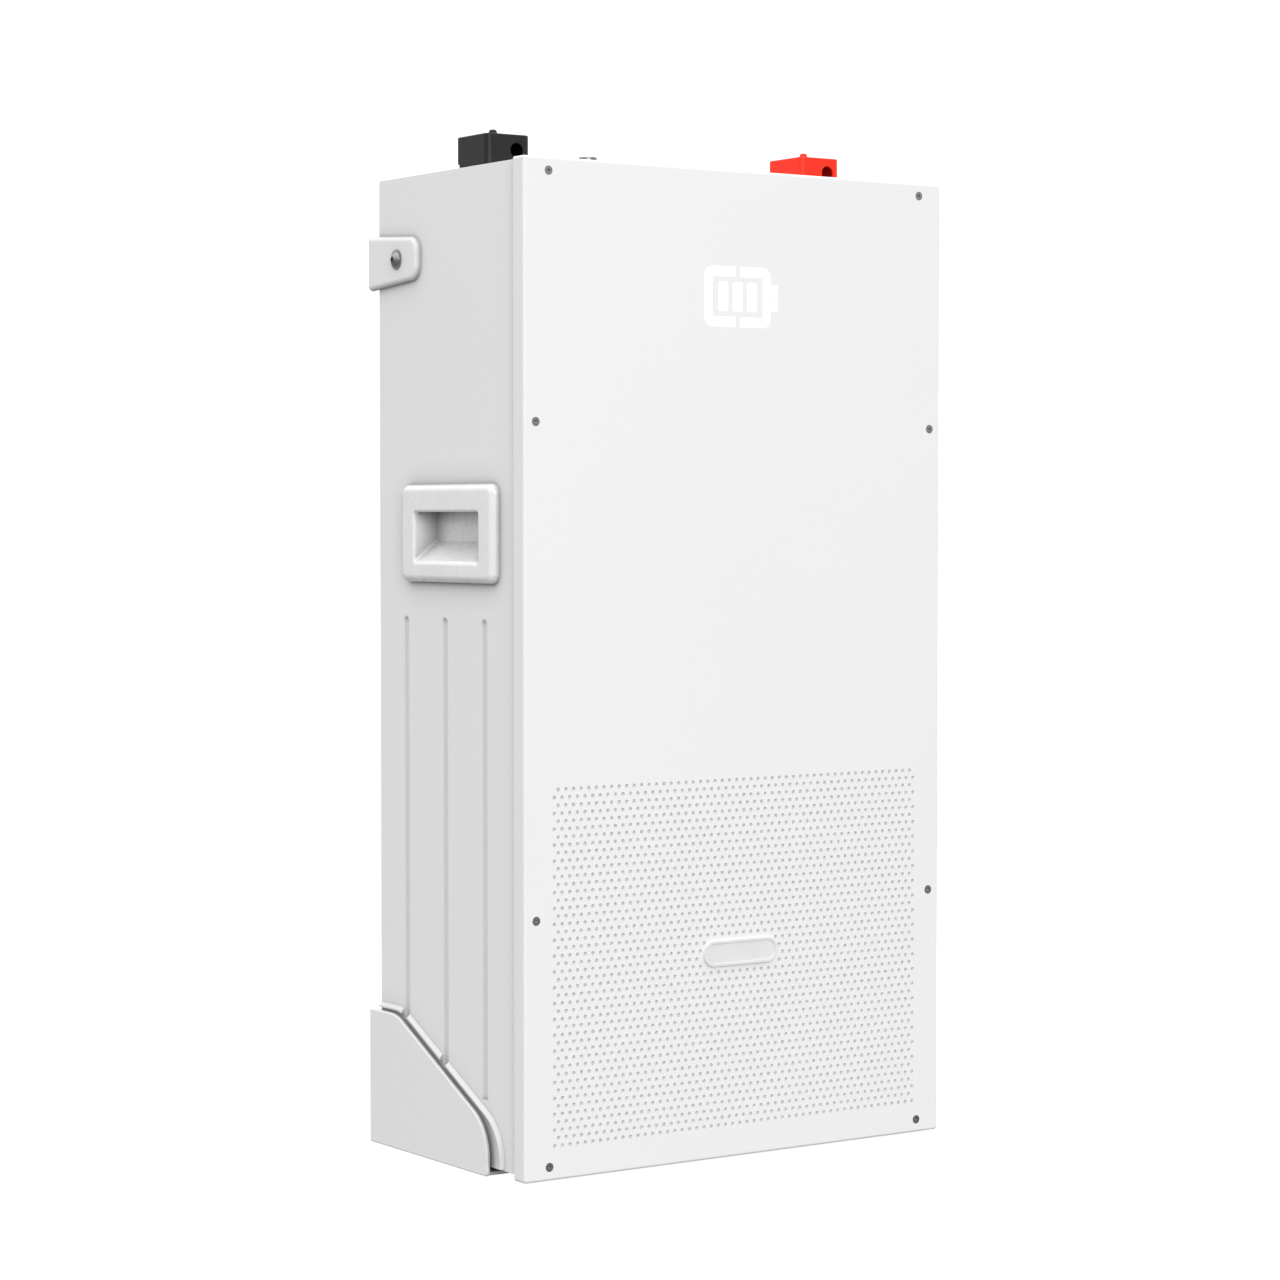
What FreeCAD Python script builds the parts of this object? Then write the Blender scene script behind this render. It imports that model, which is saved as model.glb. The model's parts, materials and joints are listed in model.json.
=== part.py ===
import FreeCAD, Part
import math
import os

# Wall battery unit.  Millimetres, +Z up, the front faces -Y, the wall is at +Y.
# The origin is the centre of the bounding box's bottom face.

# ---- driving dimensions -------------------------------------------------------------
SHEET = 1.5                    # steel sheet
COVER_W = 462.0                # front cover
COVER_H = 890.0
COVER_DEPTH = 17.0
COVER_EDGE_R = 2.5
BADGE_PROUD = 2.0              # badge in front of the cover
TOTAL_DEPTH = 266.0            # badge face to wall
WALL_Y = TOTAL_DEPTH / 2
FRONT_Y = -WALL_Y + BADGE_PROUD
COVER_Z0 = 3.0                 # above the support bracket's underside
COVER_Z1 = COVER_Z0 + COVER_H

CASE_X = 228.0                 # outer face of a side panel
CASE_Z0 = 8.0
CASE_Z1 = 891.0
GASKET = 2.5
CASE_Y0 = FRONT_Y + SHEET + GASKET
CASE_Y1 = 122.0
INNER_X = CASE_X - SHEET
FLANGE = 14.0                  # folded flanges inside the case
RING_W = 22.0                  # front frame's width

# cover screws
SCREW_HEAD_R = 4.0
SCREW_HEAD_H = 2.2
SCREW_R = 1.95
SCREW_PLAY = 0.1               # round the head in its countersink
SCREW_L = 14.0
SCREW_CORNER_X = 205.3
SCREW_CORNER_Z = 12.0          # in from the cover's top and bottom edges
SCREW_SIDE_X = 218.7
SCREW_SIDE_Z = (231.4, 664.3)
SCREW_SOCKET, SCREW_SOCKET_DEPTH = 1.25, 1.6
GASKET_HOLE_R = 4.8
NUT_BORE_R, NUT_R, NUT_L = 2.0, 3.0, 11.0
NUT_FLANGE_T = 0.8
NUT_HOLE_R = 3.05

# perforated field
HOLE_R = 1.9
HOLE_PITCH = 8.0
HOLE_ROW = HOLE_PITCH * math.sqrt(3) / 2
HOLE_COLS = 51                 # holes in a long row
HOLE_ROWS = 46
HOLE_Z0 = 33.0                 # lowest row
FILTER_T, FILTER_Z0 = 1.2, 31.0

# badge and status light
BADGE_W, BADGE_H, BADGE_Z = 82.0, 22.7, 189.0
BADGE_RIM, BADGE_RECESS = 2.2, 0.8
LIGHT_Z = 779.5
LIGHT_W, LIGHT_H, LIGHT_STROKE = 74.0, 54.0, 9.0
LIGHT_NUB_W, LIGHT_NUB_H = 7.0, 24.0
LIGHT_BRIDGE = 5.0             # sheet left between the two halves of the outline
LIGHT_BARS, LIGHT_BAR_W, LIGHT_BAR_H = 3, 11.0, 26.0
LIGHT_CORNER_R, LIGHT_INNER_R, LIGHT_BAR_R = 9.0, 3.0, 1.5
LENS_W, LENS_H, LENS_T = 96.0, 66.0, 2.0
LED_BOARD_W, LED_BOARD_H = 88.0, 58.0
LED_BOARD_GAP = 8.0            # cover's inner face to the board
LED, LED_H, LED_PITCH, LED_COLS = 2.8, 1.2, 10.0, 7
LED_FOOT_R, LED_FOOT_X, LED_FOOT_Z = 2.5, 38.0, 24.0

# side panels
GROOVE_Y = (74.8, 6.5, -60.5)
GROOVE_BREAKS_STEP = (True, True, False)
GROOVE_TOP_Z = 492.0
GROOVE_W, GROOVE_FLOOR_W, GROOVE_DEPTH = 10.5, 5.0, 2.0
STEP_H = 3.0                   # raised rib around the lower wing
STEP_TOP_Z, STEP_FRONT_Y = 132.0, -94.0
STEP_LINE = (19.0, 101.0)      # a point (y, z) on the rib's slanted outer edge
STEP_BAND = 4.5                # width of the rib
WING_TOP_Z, WING_FRONT_Y = 125.0, -74.0
WING_LINE = (64.0, 114.0)      # a point (y, z) on the wing's slanted edge
SLANT = 27.0                   # degrees, both slanted edges
STEP_R, WING_R = 50.0, 44.0    # front bend radius
TOP_BEND_R = 45.0
WING_OUT = 6.0                 # wing's outer face outside the side panel
WING_T = 2.7
PLATE_T = 3.0                  # shelf and wall plate
BRACKET_HOLE_R = 4.5
BRACKET_HOLE_X, BRACKET_HOLE_Z = 150.0, (45.0, 95.0)
SHELF_LIP_D, SHELF_LIP_H = 4.0, 3.0
PAD_W, PAD_D, PAD_R = 60.0, 30.0, 5.0
PAD_X, PAD_Y = (-170.0, 0.0, 170.0), (-45.0, 95.0)

# handle
HANDLE_Y, HANDLE_Z = -7.0, 567.3
HANDLE_W, HANDLE_H, HANDLE_PROUD, HANDLE_ROUND = 159.0, 88.0, 7.8, 6.6
HANDLE_CORNER_R = 9.0
GRIP_W, GRIP_Z0, GRIP_Z1 = 110.0, 541.0, 586.5
GRIP_DEPTH, GRIP_RISE, GRIP_LIP, GRIP_BACK_RISE = 25.0, 19.0, 4.0, 12.0
GRIP_WALL = 2.5
HANDLE_SCREW_DY, HANDLE_SCREW_DZ = 70.0, 30.0
HANDLE_SCREW_R, HANDLE_SCREW_IN = 1.6, 3.4
HANDLE_HEAD_R, HANDLE_HEAD_H = 3.4, 2.2
HANDLE_PLAY = 4.0              # round the pocket in the side panel's hole

# upper bracket
EAR_T = 5.0
EAR_Y0 = 47.0
EAR_Z0, EAR_Z1 = 790.5, 841.0  # at the wall
EAR_TIP_Z0, EAR_TIP_Z1 = 797.0, 835.5
EAR_R, EAR_ROUND = 14.0, 4.7
EAR_LEG_X = 150.0              # inner end of the leg on the wall
EAR_SCREW = (82.0, 816.5)      # y, z
EAR_COLLAR_R, EAR_COLLAR_H = 8.5, 1.2
EAR_DOME_R, EAR_DOME_H = 7.2, 4.0
EAR_HOLE_X = (165.0, 205.0)
EAR_SHANK_R, EAR_SHANK_IN = 3.9, 12.0
EAR_SOCKET, EAR_SOCKET_DEPTH = 2.5, 2.6
INSERT_R, INSERT_FLANGE_R, INSERT_L = 5.0, 7.5, 15.0

# terminals
TERM_X = 175.5
TERM_Y = 8.0
TERM_W, TERM_D, TERM_H = 45.8, 53.9, 33.7
TERM_BASE_H = 6.0
TERM_CORNER_R = 5.5
TERM_WALL = 2.2
TERM_GAP = 0.3
STUD_DX = 8.5                  # stud and cable hole, right of the box's centre
STUD_R, STUD_TOP = 4.0, 26.0
CABLE_R, CABLE_DROP = 6.75, 14.2
NUB_R, NUB_TIP_R, NUB_H = 5.2, 2.9, 6.3
HINGE_R, HINGE_PIN_R, HINGE_PLAY = 3.2, 1.25, 0.05
HINGE_W, LUG_X0, LUG_X1 = 18.4, 11.0, 15.0
HEEL_ROOM_D, HEEL_ROOM_H = 2.6, 0.7  # low step at the base's back, under the opened cover
BOSS_R, BOSS_UP, BOSS_DOWN = 11.0, 8.0, 8.0
STUD_FLANGE_R, STUD_FLANGE_T = 9.0, 2.0
STUD_DOWN = 22.0               # stud below the case's top
BOLT_R, BOLT_DOWN = 2.2, 8.0
BOLT_HEAD_R, BOLT_HEAD_H = 3.6, 2.2

# controls on top
BUTTON_X, BUTTON_Y = -143.0, -98.0
BUTTON_CAP_R, BUTTON_TOP, BUTTON_TRAVEL = 7.9, 7.6, 2.5
BUTTON_BEZEL_R, BUTTON_BEZEL_H, BUTTON_NECK_R, BUTTON_NECK_L = 7.4, 2.0, 6.0, 23.0
BUTTON_STEM_R, BUTTON_STEM_L, BUTTON_DISH_R = 3.3, 17.5, 34.0
PORT_X = (-26.0, 0.0)
PORT_Y = 10.0
PORT_W, PORT_D, PORT_H = 16.0, 14.0, 13.5
BOARD_TOP_Z = 883.6
DIP_X, DIP_LEVERS, DIP_PITCH = 28.0, 4, 2.54
DIP_W, DIP_D, DIP_H = 12.4, 6.4, 4.6
RESET_X, RESET_R = 48.0, 1.7
RESET_BODY, RESET_BODY_H = 6.0, 3.6
EARTH_X, EARTH_Y = 100.0, 40.0
EARTH_R, EARTH_L, EARTH_NUT, EARTH_NUT_H = 3.0, 26.0, 5.0, 4.6
OPENING_PLAY = 0.3             # round a port in the case's top

# cells
CELL_W, CELL_T, CELL_L = 173.7, 71.7, 204.6
CELL_COUNT = 8                 # in each of two columns
COLUMN_X = 95.0
CELL_GAP = 1.0
CELL_Y1 = 116.0
RAIL_H, END_T = 10.0, 10.0
POST_X, POST_R, POST_H = 61.0, 8.0, 3.0
LINK_W, LINK_T = 24.0, 2.0
ROD_X, ROD_Y, ROD_R = 189.0, (-60.0, 80.0), 4.0
ROD_NUT, ROD_NUT_H, ROD_OUT = 6.5, 6.5, 8.0
CELL_EDGE_R, CELL_SPACER_INSET = 4.0, 3.0
RAIL_X, RAIL_W, RAIL_WALL, RAIL_Y = 180.0, 28.0, 2.0, (-30.0, 50.0)
CARRIER_W = 32.0
RIBBON_W, RIBBON_T = 16.0, 0.6

# management board
SPREADER_Y, SPREADER_T = 40.0, 4.0
BMS_Z0, BMS_Z1, BMS_X = 655.0, 855.0, 145.0
BMS_GAP, PCB_T = 10.0, 1.6
BOARD_SCREW_R, BOARD_SCREW_H = 3.0, 2.2
FIN_H, FIN_T, FIN_PITCH, FIN_COUNT = 22.0, 2.0, 12.0, 21
CAPACITOR_R, CAPACITOR_L = 8.0, 25.0
TRANSISTOR_W, TRANSISTOR_H, TRANSISTOR_D = 10.0, 15.0, 4.4
FUSE_X, FUSE_Z0, FUSE_Z1 = 184.0, 735.0, 800.0
FUSE_W, FUSE_BLADE, FUSE_BODY = 32.0, 12.0, (16.0, 14.0)
BAR_W, BAR_T = 20.0, 3.0

X, Y, Z = FreeCAD.Vector(1, 0, 0), FreeCAD.Vector(0, 1, 0), FreeCAD.Vector(0, 0, 1)


# ---- helpers ------------------------------------------------------------------------
def vec(x, y, z):
    return FreeCAD.Vector(x, y, z)


def box(x0, x1, y0, y1, z0, z1):
    low = vec(min(x0, x1), min(y0, y1), min(z0, z1))
    return Part.makeBox(abs(x1 - x0), abs(y1 - y0), abs(z1 - z0), low)


def rod(radius, length, base, direction=Z):
    return Part.makeCylinder(radius, length, base, direction)


def fused(first, *others):
    return first.fuse(list(others)).removeSplitter() if others else first


def mirrored(shape):
    return shape.mirror(vec(0, 0, 0), X)


def both_sides(shape):
    return [shape, mirrored(shape)]


def export(name, *shapes):
    result = shapes[0] if len(shapes) == 1 else Part.makeCompound(list(shapes))
    result.exportStep("parts/" + name + ".step")


def rounded_plate(width, height, radius, thickness, centre, normal=Y):
    """A plate with rounded corners that grows from centre along normal."""
    plate = box(-width / 2, width / 2, 0, thickness, -height / 2, height / 2)
    corners = [e for e in plate.Edges if abs(e.tangentAt(e.FirstParameter).y) > 0.9]
    plate = plate.makeFillet(radius, corners)
    if normal == X:
        plate.rotate(vec(0, 0, 0), Z, -90)
    elif normal == Z:
        plate.rotate(vec(0, 0, 0), X, 90)
    plate.translate(centre)
    return plate


def yz_prism(edges, x0, x1):
    """A closed outline in the Y-Z plane at x0, pushed to x1."""
    face = Part.Face(Part.Wire(Part.__sortEdges__(edges)))
    return face.extrude(vec(x1 - x0, 0, 0))


def swept_edge_outline(x, top_z, front_y, line, bend_r, back_y, bottom_z):
    """Outline with a flat top, a slanted edge and a straight front, bends rounded."""
    slope = math.tan(math.radians(SLANT))
    bend_top = vec(x, line[0] + (top_z - line[1]) / slope, top_z)
    bend_low = vec(x, front_y, line[1] + (front_y - line[0]) * slope)
    half_top = math.radians(SLANT) / 2
    half_low = math.radians(90 - SLANT) / 2
    slant = vec(0, math.cos(math.radians(SLANT)), math.sin(math.radians(SLANT)))

    def bend(corner, before, after, radius, half):
        reach = radius * math.tan(half)
        start, end = corner + before * reach, corner + after * reach
        middle = corner + (before + after).normalize() * (radius / math.cos(half) - radius)
        return start, middle, end

    a0, a1, a2 = bend(bend_top, Y, slant * -1, TOP_BEND_R, half_top)
    b0, b1, b2 = bend(bend_low, slant, Z * -1, bend_r, half_low)
    back_top, back_low = vec(x, back_y, top_z), vec(x, back_y, bottom_z)
    front_low = vec(x, front_y, bottom_z)
    return [Part.makeLine(back_low, back_top), Part.makeLine(back_top, a0),
            Part.Arc(a0, a1, a2).toShape(), Part.makeLine(a2, b0),
            Part.Arc(b0, b1, b2).toShape(), Part.makeLine(b2, front_low),
            Part.makeLine(front_low, back_low)]


def cover_screw_places():
    low, high = COVER_Z0 + SCREW_CORNER_Z, COVER_Z1 - SCREW_CORNER_Z
    corners = [(x, z) for x in (-SCREW_CORNER_X, SCREW_CORNER_X) for z in (low, high)]
    sides = [(x, z) for x in (-SCREW_SIDE_X, SCREW_SIDE_X) for z in SCREW_SIDE_Z]
    return corners + sides


# ---- front cover --------------------------------------------------------------------
def status_light_islands(y0, y1):
    """A battery symbol: an outline in two halves, a nub and charge bars."""
    centre_x = -LIGHT_NUB_W / 2
    outer = rounded_plate(LIGHT_W, LIGHT_H, LIGHT_CORNER_R, y1 - y0, vec(centre_x, y0, LIGHT_Z))
    inner = rounded_plate(LIGHT_W - 2 * LIGHT_STROKE, LIGHT_H - 2 * LIGHT_STROKE, LIGHT_INNER_R,
                          y1 - y0, vec(centre_x, y0, LIGHT_Z))
    bridge = box(centre_x - LIGHT_BRIDGE / 2, centre_x + LIGHT_BRIDGE / 2, y0, y1,
                 LIGHT_Z - LIGHT_H, LIGHT_Z + LIGHT_H)
    outline = outer.cut(inner).cut(bridge)
    nub_x = centre_x + LIGHT_W / 2 + 1
    nub = box(nub_x, nub_x + LIGHT_NUB_W, y0, y1, LIGHT_Z - LIGHT_NUB_H / 2, LIGHT_Z + LIGHT_NUB_H / 2)
    pitch = LIGHT_BAR_W + LIGHT_BRIDGE
    bars = [rounded_plate(LIGHT_BAR_W, LIGHT_BAR_H, LIGHT_BAR_R, y1 - y0,
                          vec(centre_x + (i - (LIGHT_BARS - 1) / 2) * pitch, y0, LIGHT_Z))
            for i in range(LIGHT_BARS)]
    return outline.Solids + [nub] + bars


def perforated_sheet(x_half, z0, z1):
    """The cover's lower field, with staggered rows of round holes."""
    corners = [vec(-x_half, FRONT_Y, z0), vec(x_half, FRONT_Y, z0),
               vec(x_half, FRONT_Y, z1), vec(-x_half, FRONT_Y, z1)]
    holes = []
    for row in range(HOLE_ROWS):
        count = HOLE_COLS - row % 2
        for col in range(count):
            place = vec((col - (count - 1) / 2) * HOLE_PITCH, FRONT_Y, HOLE_Z0 + row * HOLE_ROW)
            if not inside_badge(place.x, place.z):
                holes.append(Part.Wire(Part.makeCircle(HOLE_R, place, Y)))
    sheet = Part.Face(Part.makePolygon(corners + corners[:1]))
    sheet.cutHoles(holes)
    return sheet.extrude(Y * SHEET)


def inside_badge(x, z):
    reach = BADGE_W / 2 - BADGE_H / 2
    gap = math.hypot(max(abs(x) - reach, 0), z - BADGE_Z)
    return gap < BADGE_H / 2 + HOLE_R + 0.5


def front_cover():
    tray = box(-COVER_W / 2, COVER_W / 2, FRONT_Y, FRONT_Y + COVER_DEPTH, COVER_Z0, COVER_Z1)
    front_edges = [e for e in tray.Edges if e.BoundBox.YMax < FRONT_Y + 0.1]
    upright = [e for e in tray.Edges if abs(e.tangentAt(e.FirstParameter).y) > 0.9]
    tray = tray.makeFillet(COVER_EDGE_R, front_edges + upright)
    hollow = box(-COVER_W / 2 + SHEET, COVER_W / 2 - SHEET, FRONT_Y + SHEET,
                 FRONT_Y + COVER_DEPTH + 1, COVER_Z0 + SHEET, COVER_Z1 - SHEET)
    tray = tray.cut(hollow)
    mouth = SCREW_HEAD_R + SCREW_PLAY
    taper = (SCREW_HEAD_R - SCREW_R) * SHEET / SCREW_HEAD_H
    for x, z in cover_screw_places():
        tray = tray.cut(Part.makeCone(mouth, mouth - taper, SHEET, vec(x, FRONT_Y, z), Y))
    tray = tray.cut(status_light_islands(FRONT_Y - 1, FRONT_Y + SHEET + 1))
    field_x = HOLE_COLS * HOLE_PITCH / 2
    field_z0, field_z1 = HOLE_Z0 - HOLE_PITCH / 2, HOLE_Z0 + (HOLE_ROWS - 1) * HOLE_ROW + HOLE_PITCH / 2
    tray = tray.cut(box(-field_x, field_x, FRONT_Y - 1, FRONT_Y + SHEET + 1, field_z0, field_z1))
    return tray.fuse(perforated_sheet(field_x, field_z0, field_z1))


def make_cover():
    export("front_cover", front_cover())
    back = FRONT_Y + SHEET
    field_x = HOLE_COLS * HOLE_PITCH / 2 - 1
    field_top = HOLE_Z0 + HOLE_ROWS * HOLE_ROW
    export("vent_filter", box(-field_x, field_x, back, back + FILTER_T, FILTER_Z0, field_top))

    ring = case_ring(CASE_X - SHEET, RING_W - SHEET, back, GASKET)
    for x, z in cover_screw_places():
        ring = ring.cut(rod(GASKET_HOLE_R, GASKET + 2, vec(x, back - 1, z), Y))
    export("cover_gasket", ring)
    export("cover_screws", *[cover_screw(x, z) for x, z in cover_screw_places()])
    export("cover_rivet_nuts", *[rivet_nut(vec(x, CASE_Y0, z))
                                 for x, z in cover_screw_places()])

    body = rounded_plate(BADGE_W, BADGE_H, BADGE_H / 2 - 0.1, BADGE_PROUD,
                         vec(0, FRONT_Y - BADGE_PROUD, BADGE_Z))
    panel_h = BADGE_H - 2 * BADGE_RIM
    panel = rounded_plate(BADGE_W - 2 * BADGE_RIM, panel_h, panel_h / 2 - 0.1, 1 + BADGE_RECESS,
                          vec(0, FRONT_Y - BADGE_PROUD - 1, BADGE_Z))
    export("badge_plate", body.cut(panel))

    plate = rounded_plate(LENS_W, LENS_H, LIGHT_CORNER_R, LENS_T, vec(0, back, LIGHT_Z))
    export("status_light_lens", fused(plate, *status_light_islands(FRONT_Y, back)))
    board_y = back + LED_BOARD_GAP
    board = rounded_plate(LED_BOARD_W, LED_BOARD_H, LIGHT_INNER_R, PCB_T, vec(0, board_y, LIGHT_Z))
    feet = [rod(LED_FOOT_R, LED_BOARD_GAP - LENS_T, vec(x, back + LENS_T, LIGHT_Z + z), Y)
            for x in (-LED_FOOT_X, LED_FOOT_X) for z in (-LED_FOOT_Z, LED_FOOT_Z)]
    columns = [(i - (LED_COLS - 1) / 2) * LED_PITCH for i in range(LED_COLS)]
    rows = [LIGHT_Z + i * LED_FOOT_Z / 2 for i in (-1, 0, 1)]
    leds = [box(x - LED / 2, x + LED / 2, board_y - LED_H, board_y, z - LED / 2, z + LED / 2)
            for x in columns for z in rows]
    export("status_led_board", board, *feet, *leds)


def case_ring(x_half, width, y0, depth):
    z0, z1 = CASE_Z0 + SHEET, CASE_Z1 - SHEET
    ring = box(-x_half, x_half, y0, y0 + depth, z0, z1)
    return ring.cut(box(-x_half + width, x_half - width, y0 - 1, y0 + depth + 1, z0 + width, z1 - width))


def cover_screw(x, z):
    """A countersunk screw with a hexagon socket."""
    head = Part.makeCone(SCREW_HEAD_R, SCREW_R, SCREW_HEAD_H, vec(x, FRONT_Y, z), Y)
    shank = rod(SCREW_R, SCREW_L - SCREW_HEAD_H, vec(x, FRONT_Y + SCREW_HEAD_H, z), Y)
    return fused(head, shank).cut(hex_prism(SCREW_SOCKET, SCREW_SOCKET_DEPTH, vec(x, FRONT_Y, z), Y))


def hex_prism(apothem, depth, base, direction):
    """A hexagonal prism, from base along X, Y or Z."""
    radius = apothem / math.cos(math.radians(30))
    side = Z if direction != Z else X
    across = direction.cross(side)
    angles = [math.radians(60 * i + 30) for i in range(7)]
    ring = [base + side * (radius * math.cos(a)) + across * (radius * math.sin(a)) for a in angles]
    return Part.Face(Part.makePolygon(ring)).extrude(direction * depth)


def rivet_nut(base):
    """A flanged threaded insert: the flange in front of base, the sleeve behind it."""
    flange = rod(NUT_R * 1.5, NUT_FLANGE_T, base - Y * NUT_FLANGE_T, Y)
    sleeve = rod(NUT_R, NUT_L, base, Y)
    return fused(flange, sleeve).cut(rod(NUT_BORE_R, NUT_L + 2, base - Y, Y))


# ---- case ---------------------------------------------------------------------------
def groove_cutter(y, z0, z1):
    """A trapezoid groove with a round upper end, cut from the outer face."""
    x = -CASE_X
    half, floor = GROOVE_W / 2, GROOVE_FLOOR_W / 2
    section = [vec(x, y - half, z0), vec(x, y + half, z0),
               vec(x + GROOVE_DEPTH, y + floor, z0), vec(x + GROOVE_DEPTH, y - floor, z0)]
    bar = Part.Face(Part.makePolygon(section + section[:1])).extrude(Z * (z1 - half - z0))
    end = Part.makeCone(half, floor, GROOVE_DEPTH, vec(x, y, z1 - half), X)
    above = box(x - STEP_H - 1, x, y - half, y + half, z0, z1 - half)
    return bar.fuse([end, above])


def side_panel():
    """The left side panel: sheet, three pressed grooves, a raised rib and a handle hole."""
    outer, inner = -CASE_X, -CASE_X + SHEET
    z0, z1 = CASE_Z0 + SHEET, CASE_Z1 - SHEET
    panel = box(outer, inner, CASE_Y0, CASE_Y1, z0, z1)
    plateau = yz_prism(swept_edge_outline(outer, STEP_TOP_Z, STEP_FRONT_Y, STEP_LINE, STEP_R,
                                          CASE_Y1, z0), outer, outer - STEP_H)
    edge = [e for e in plateau.Edges if e.BoundBox.XMax < outer - STEP_H + 0.1
            and e.BoundBox.ZMin > z0 - 0.5 and e.BoundBox.ZMax > z0 + 1
            and e.BoundBox.YMin < CASE_Y1 - 1]
    plateau = plateau.makeChamfer(STEP_H - 0.2, edge)
    drop = STEP_BAND / math.cos(math.radians(SLANT))
    inside = yz_prism(swept_edge_outline(outer, STEP_TOP_Z - STEP_BAND, STEP_FRONT_Y + STEP_BAND,
                                         (STEP_LINE[0], STEP_LINE[1] - drop), STEP_R - STEP_BAND,
                                         CASE_Y1 + 1, z0 - 1), outer, outer - STEP_H - 1)
    panel = panel.fuse(plateau.cut(inside))
    half = GROOVE_W / 2
    for y, breaks_step in zip(GROOVE_Y, GROOVE_BREAKS_STEP):
        low = wing_edge_z(y) + 4 if breaks_step else step_edge_z(y) + 6
        ridge = box(inner, inner + GROOVE_DEPTH, y - half, y + half, low - 2, GROOVE_TOP_Z + 1)
        panel = panel.fuse(ridge).cut(groove_cutter(y, low, GROOVE_TOP_Z))
    half = GRIP_W / 2 + HANDLE_PLAY
    hole = box(outer - 1, inner + 1, HANDLE_Y - half, HANDLE_Y + half,
               GRIP_Z0 - HANDLE_PLAY, GRIP_Z1 + GRIP_BACK_RISE + HANDLE_PLAY)
    panel = panel.cut(hole)
    for y, z in handle_screw_places():
        panel = panel.cut(rod(HANDLE_SCREW_R + 0.6, 10, vec(outer - 5, y, z), X))
    return panel.cut(rod(INSERT_R + 0.05, 10, vec(outer - 5, *EAR_SCREW), X)).removeSplitter()


def slanted_edge_z(y, line, top_z):
    """Height of a slanted upper edge at a depth y, bends left out."""
    return min(line[1] + (y - line[0]) * math.tan(math.radians(SLANT)), top_z)


def wing_edge_z(y):
    return slanted_edge_z(y, WING_LINE, WING_TOP_Z)


def step_edge_z(y):
    return slanted_edge_z(y, STEP_LINE, STEP_TOP_Z)


def handle_screw_places():
    return [(HANDLE_Y + dy, HANDLE_Z + dz) for dy in (-HANDLE_SCREW_DY, HANDLE_SCREW_DY)
            for dz in (-HANDLE_SCREW_DZ, HANDLE_SCREW_DZ)]


def make_case():
    left = side_panel()
    export("case_left_side", left)
    export("case_right_side", mirrored(left))

    z0, z1 = CASE_Z0 + SHEET, CASE_Z1 - SHEET
    back = box(-INNER_X, INNER_X, CASE_Y1 - SHEET, CASE_Y1, z0, z1)
    folds = both_sides(box(-INNER_X, -INNER_X + SHEET, CASE_Y1 - FLANGE, CASE_Y1 - SHEET,
                           z0 + FLANGE + 2, z1 - FLANGE - 2))
    export("case_back", fused(back, *folds))

    ring = case_ring(INNER_X, RING_W, CASE_Y0, SHEET)
    for x, z in cover_screw_places():
        ring = ring.cut(rod(NUT_HOLE_R, 4, vec(x, CASE_Y0 - 1, z), Y))
    folds = both_sides(box(-INNER_X, -INNER_X + SHEET, CASE_Y0 + SHEET, CASE_Y0 + FLANGE,
                           z0 + FLANGE + 2, z1 - FLANGE - 2))
    export("case_front_frame", fused(ring, *folds))

    export("case_bottom", end_panel(CASE_Z0, 1))
    top = end_panel(CASE_Z1, -1)
    round_openings = [(BOSS_R + 2.0, side * TERM_X + STUD_DX, TERM_Y) for side in (-1, 1)]
    round_openings += [(BOLT_R + 0.4, side * TERM_X + dx, TERM_Y + dy)
                       for side in (-1, 1) for dx, dy in terminal_bolt_offsets()]
    round_openings += [(BUTTON_NECK_R + 0.1, BUTTON_X, BUTTON_Y), (RESET_R + 0.7, RESET_X, PORT_Y),
                       (EARTH_R + 0.1, EARTH_X, EARTH_Y)]
    openings = [rod(radius, 10, vec(x, y, CASE_Z1 - 5)) for radius, x, y in round_openings]
    half_w, half_d = PORT_W / 2 + OPENING_PLAY, PORT_D / 2 + OPENING_PLAY
    openings += [box(x - half_w, x + half_w, PORT_Y - half_d, PORT_Y + half_d, CASE_Z1 - 5, CASE_Z1 + 1)
                 for x in PORT_X]
    half_w, half_d = DIP_W / 2 + 0.8, DIP_D / 2 + 0.8
    openings.append(box(DIP_X - half_w, DIP_X + half_w, PORT_Y - half_d, PORT_Y + half_d,
                        CASE_Z1 - 5, CASE_Z1 + 1))
    export("case_top", top.cut(openings))


def end_panel(outer_z, inward):
    """A top or bottom panel with two folded flanges inside the side panels."""
    inner_z = outer_z + inward * SHEET
    sheet = box(-CASE_X, CASE_X, CASE_Y0, CASE_Y1, outer_z, inner_z)
    folds = both_sides(box(-INNER_X, -INNER_X + SHEET, CASE_Y0 + FLANGE + 2, CASE_Y1 - FLANGE - 2,
                           inner_z, inner_z + inward * (FLANGE - 2)))
    return fused(sheet, *folds)


def terminal_bolt_offsets():
    return [(-16.5, -20.5), (-16.5, 14.0), (16.5, -20.5)]


# ---- handles ------------------------------------------------------------------------
def grip_outline(wall):
    """The pocket's section (x, z), as seen along Y, thickened outwards by wall."""
    face, back = -CASE_X - HANDLE_PROUD, -CASE_X - HANDLE_PROUD + GRIP_DEPTH
    return [(face - 1 if wall == 0 else -CASE_X, GRIP_Z0 - wall),
            (back + wall, GRIP_Z0 + GRIP_RISE - wall),
            (back + wall, GRIP_Z1 + GRIP_BACK_RISE + wall),
            (face + GRIP_LIP + 5 - wall, GRIP_Z1 + GRIP_BACK_RISE + wall),
            (face + GRIP_LIP + 1 - wall, GRIP_Z1 + wall),
            (face - 1 if wall == 0 else -CASE_X, GRIP_Z1 + wall)]


def grip_solid(wall):
    half = GRIP_W / 2 + wall
    corners = [vec(x, HANDLE_Y - half, z) for x, z in grip_outline(wall)]
    return Part.Face(Part.makePolygon(corners + corners[:1])).extrude(Y * (2 * half))


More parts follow.
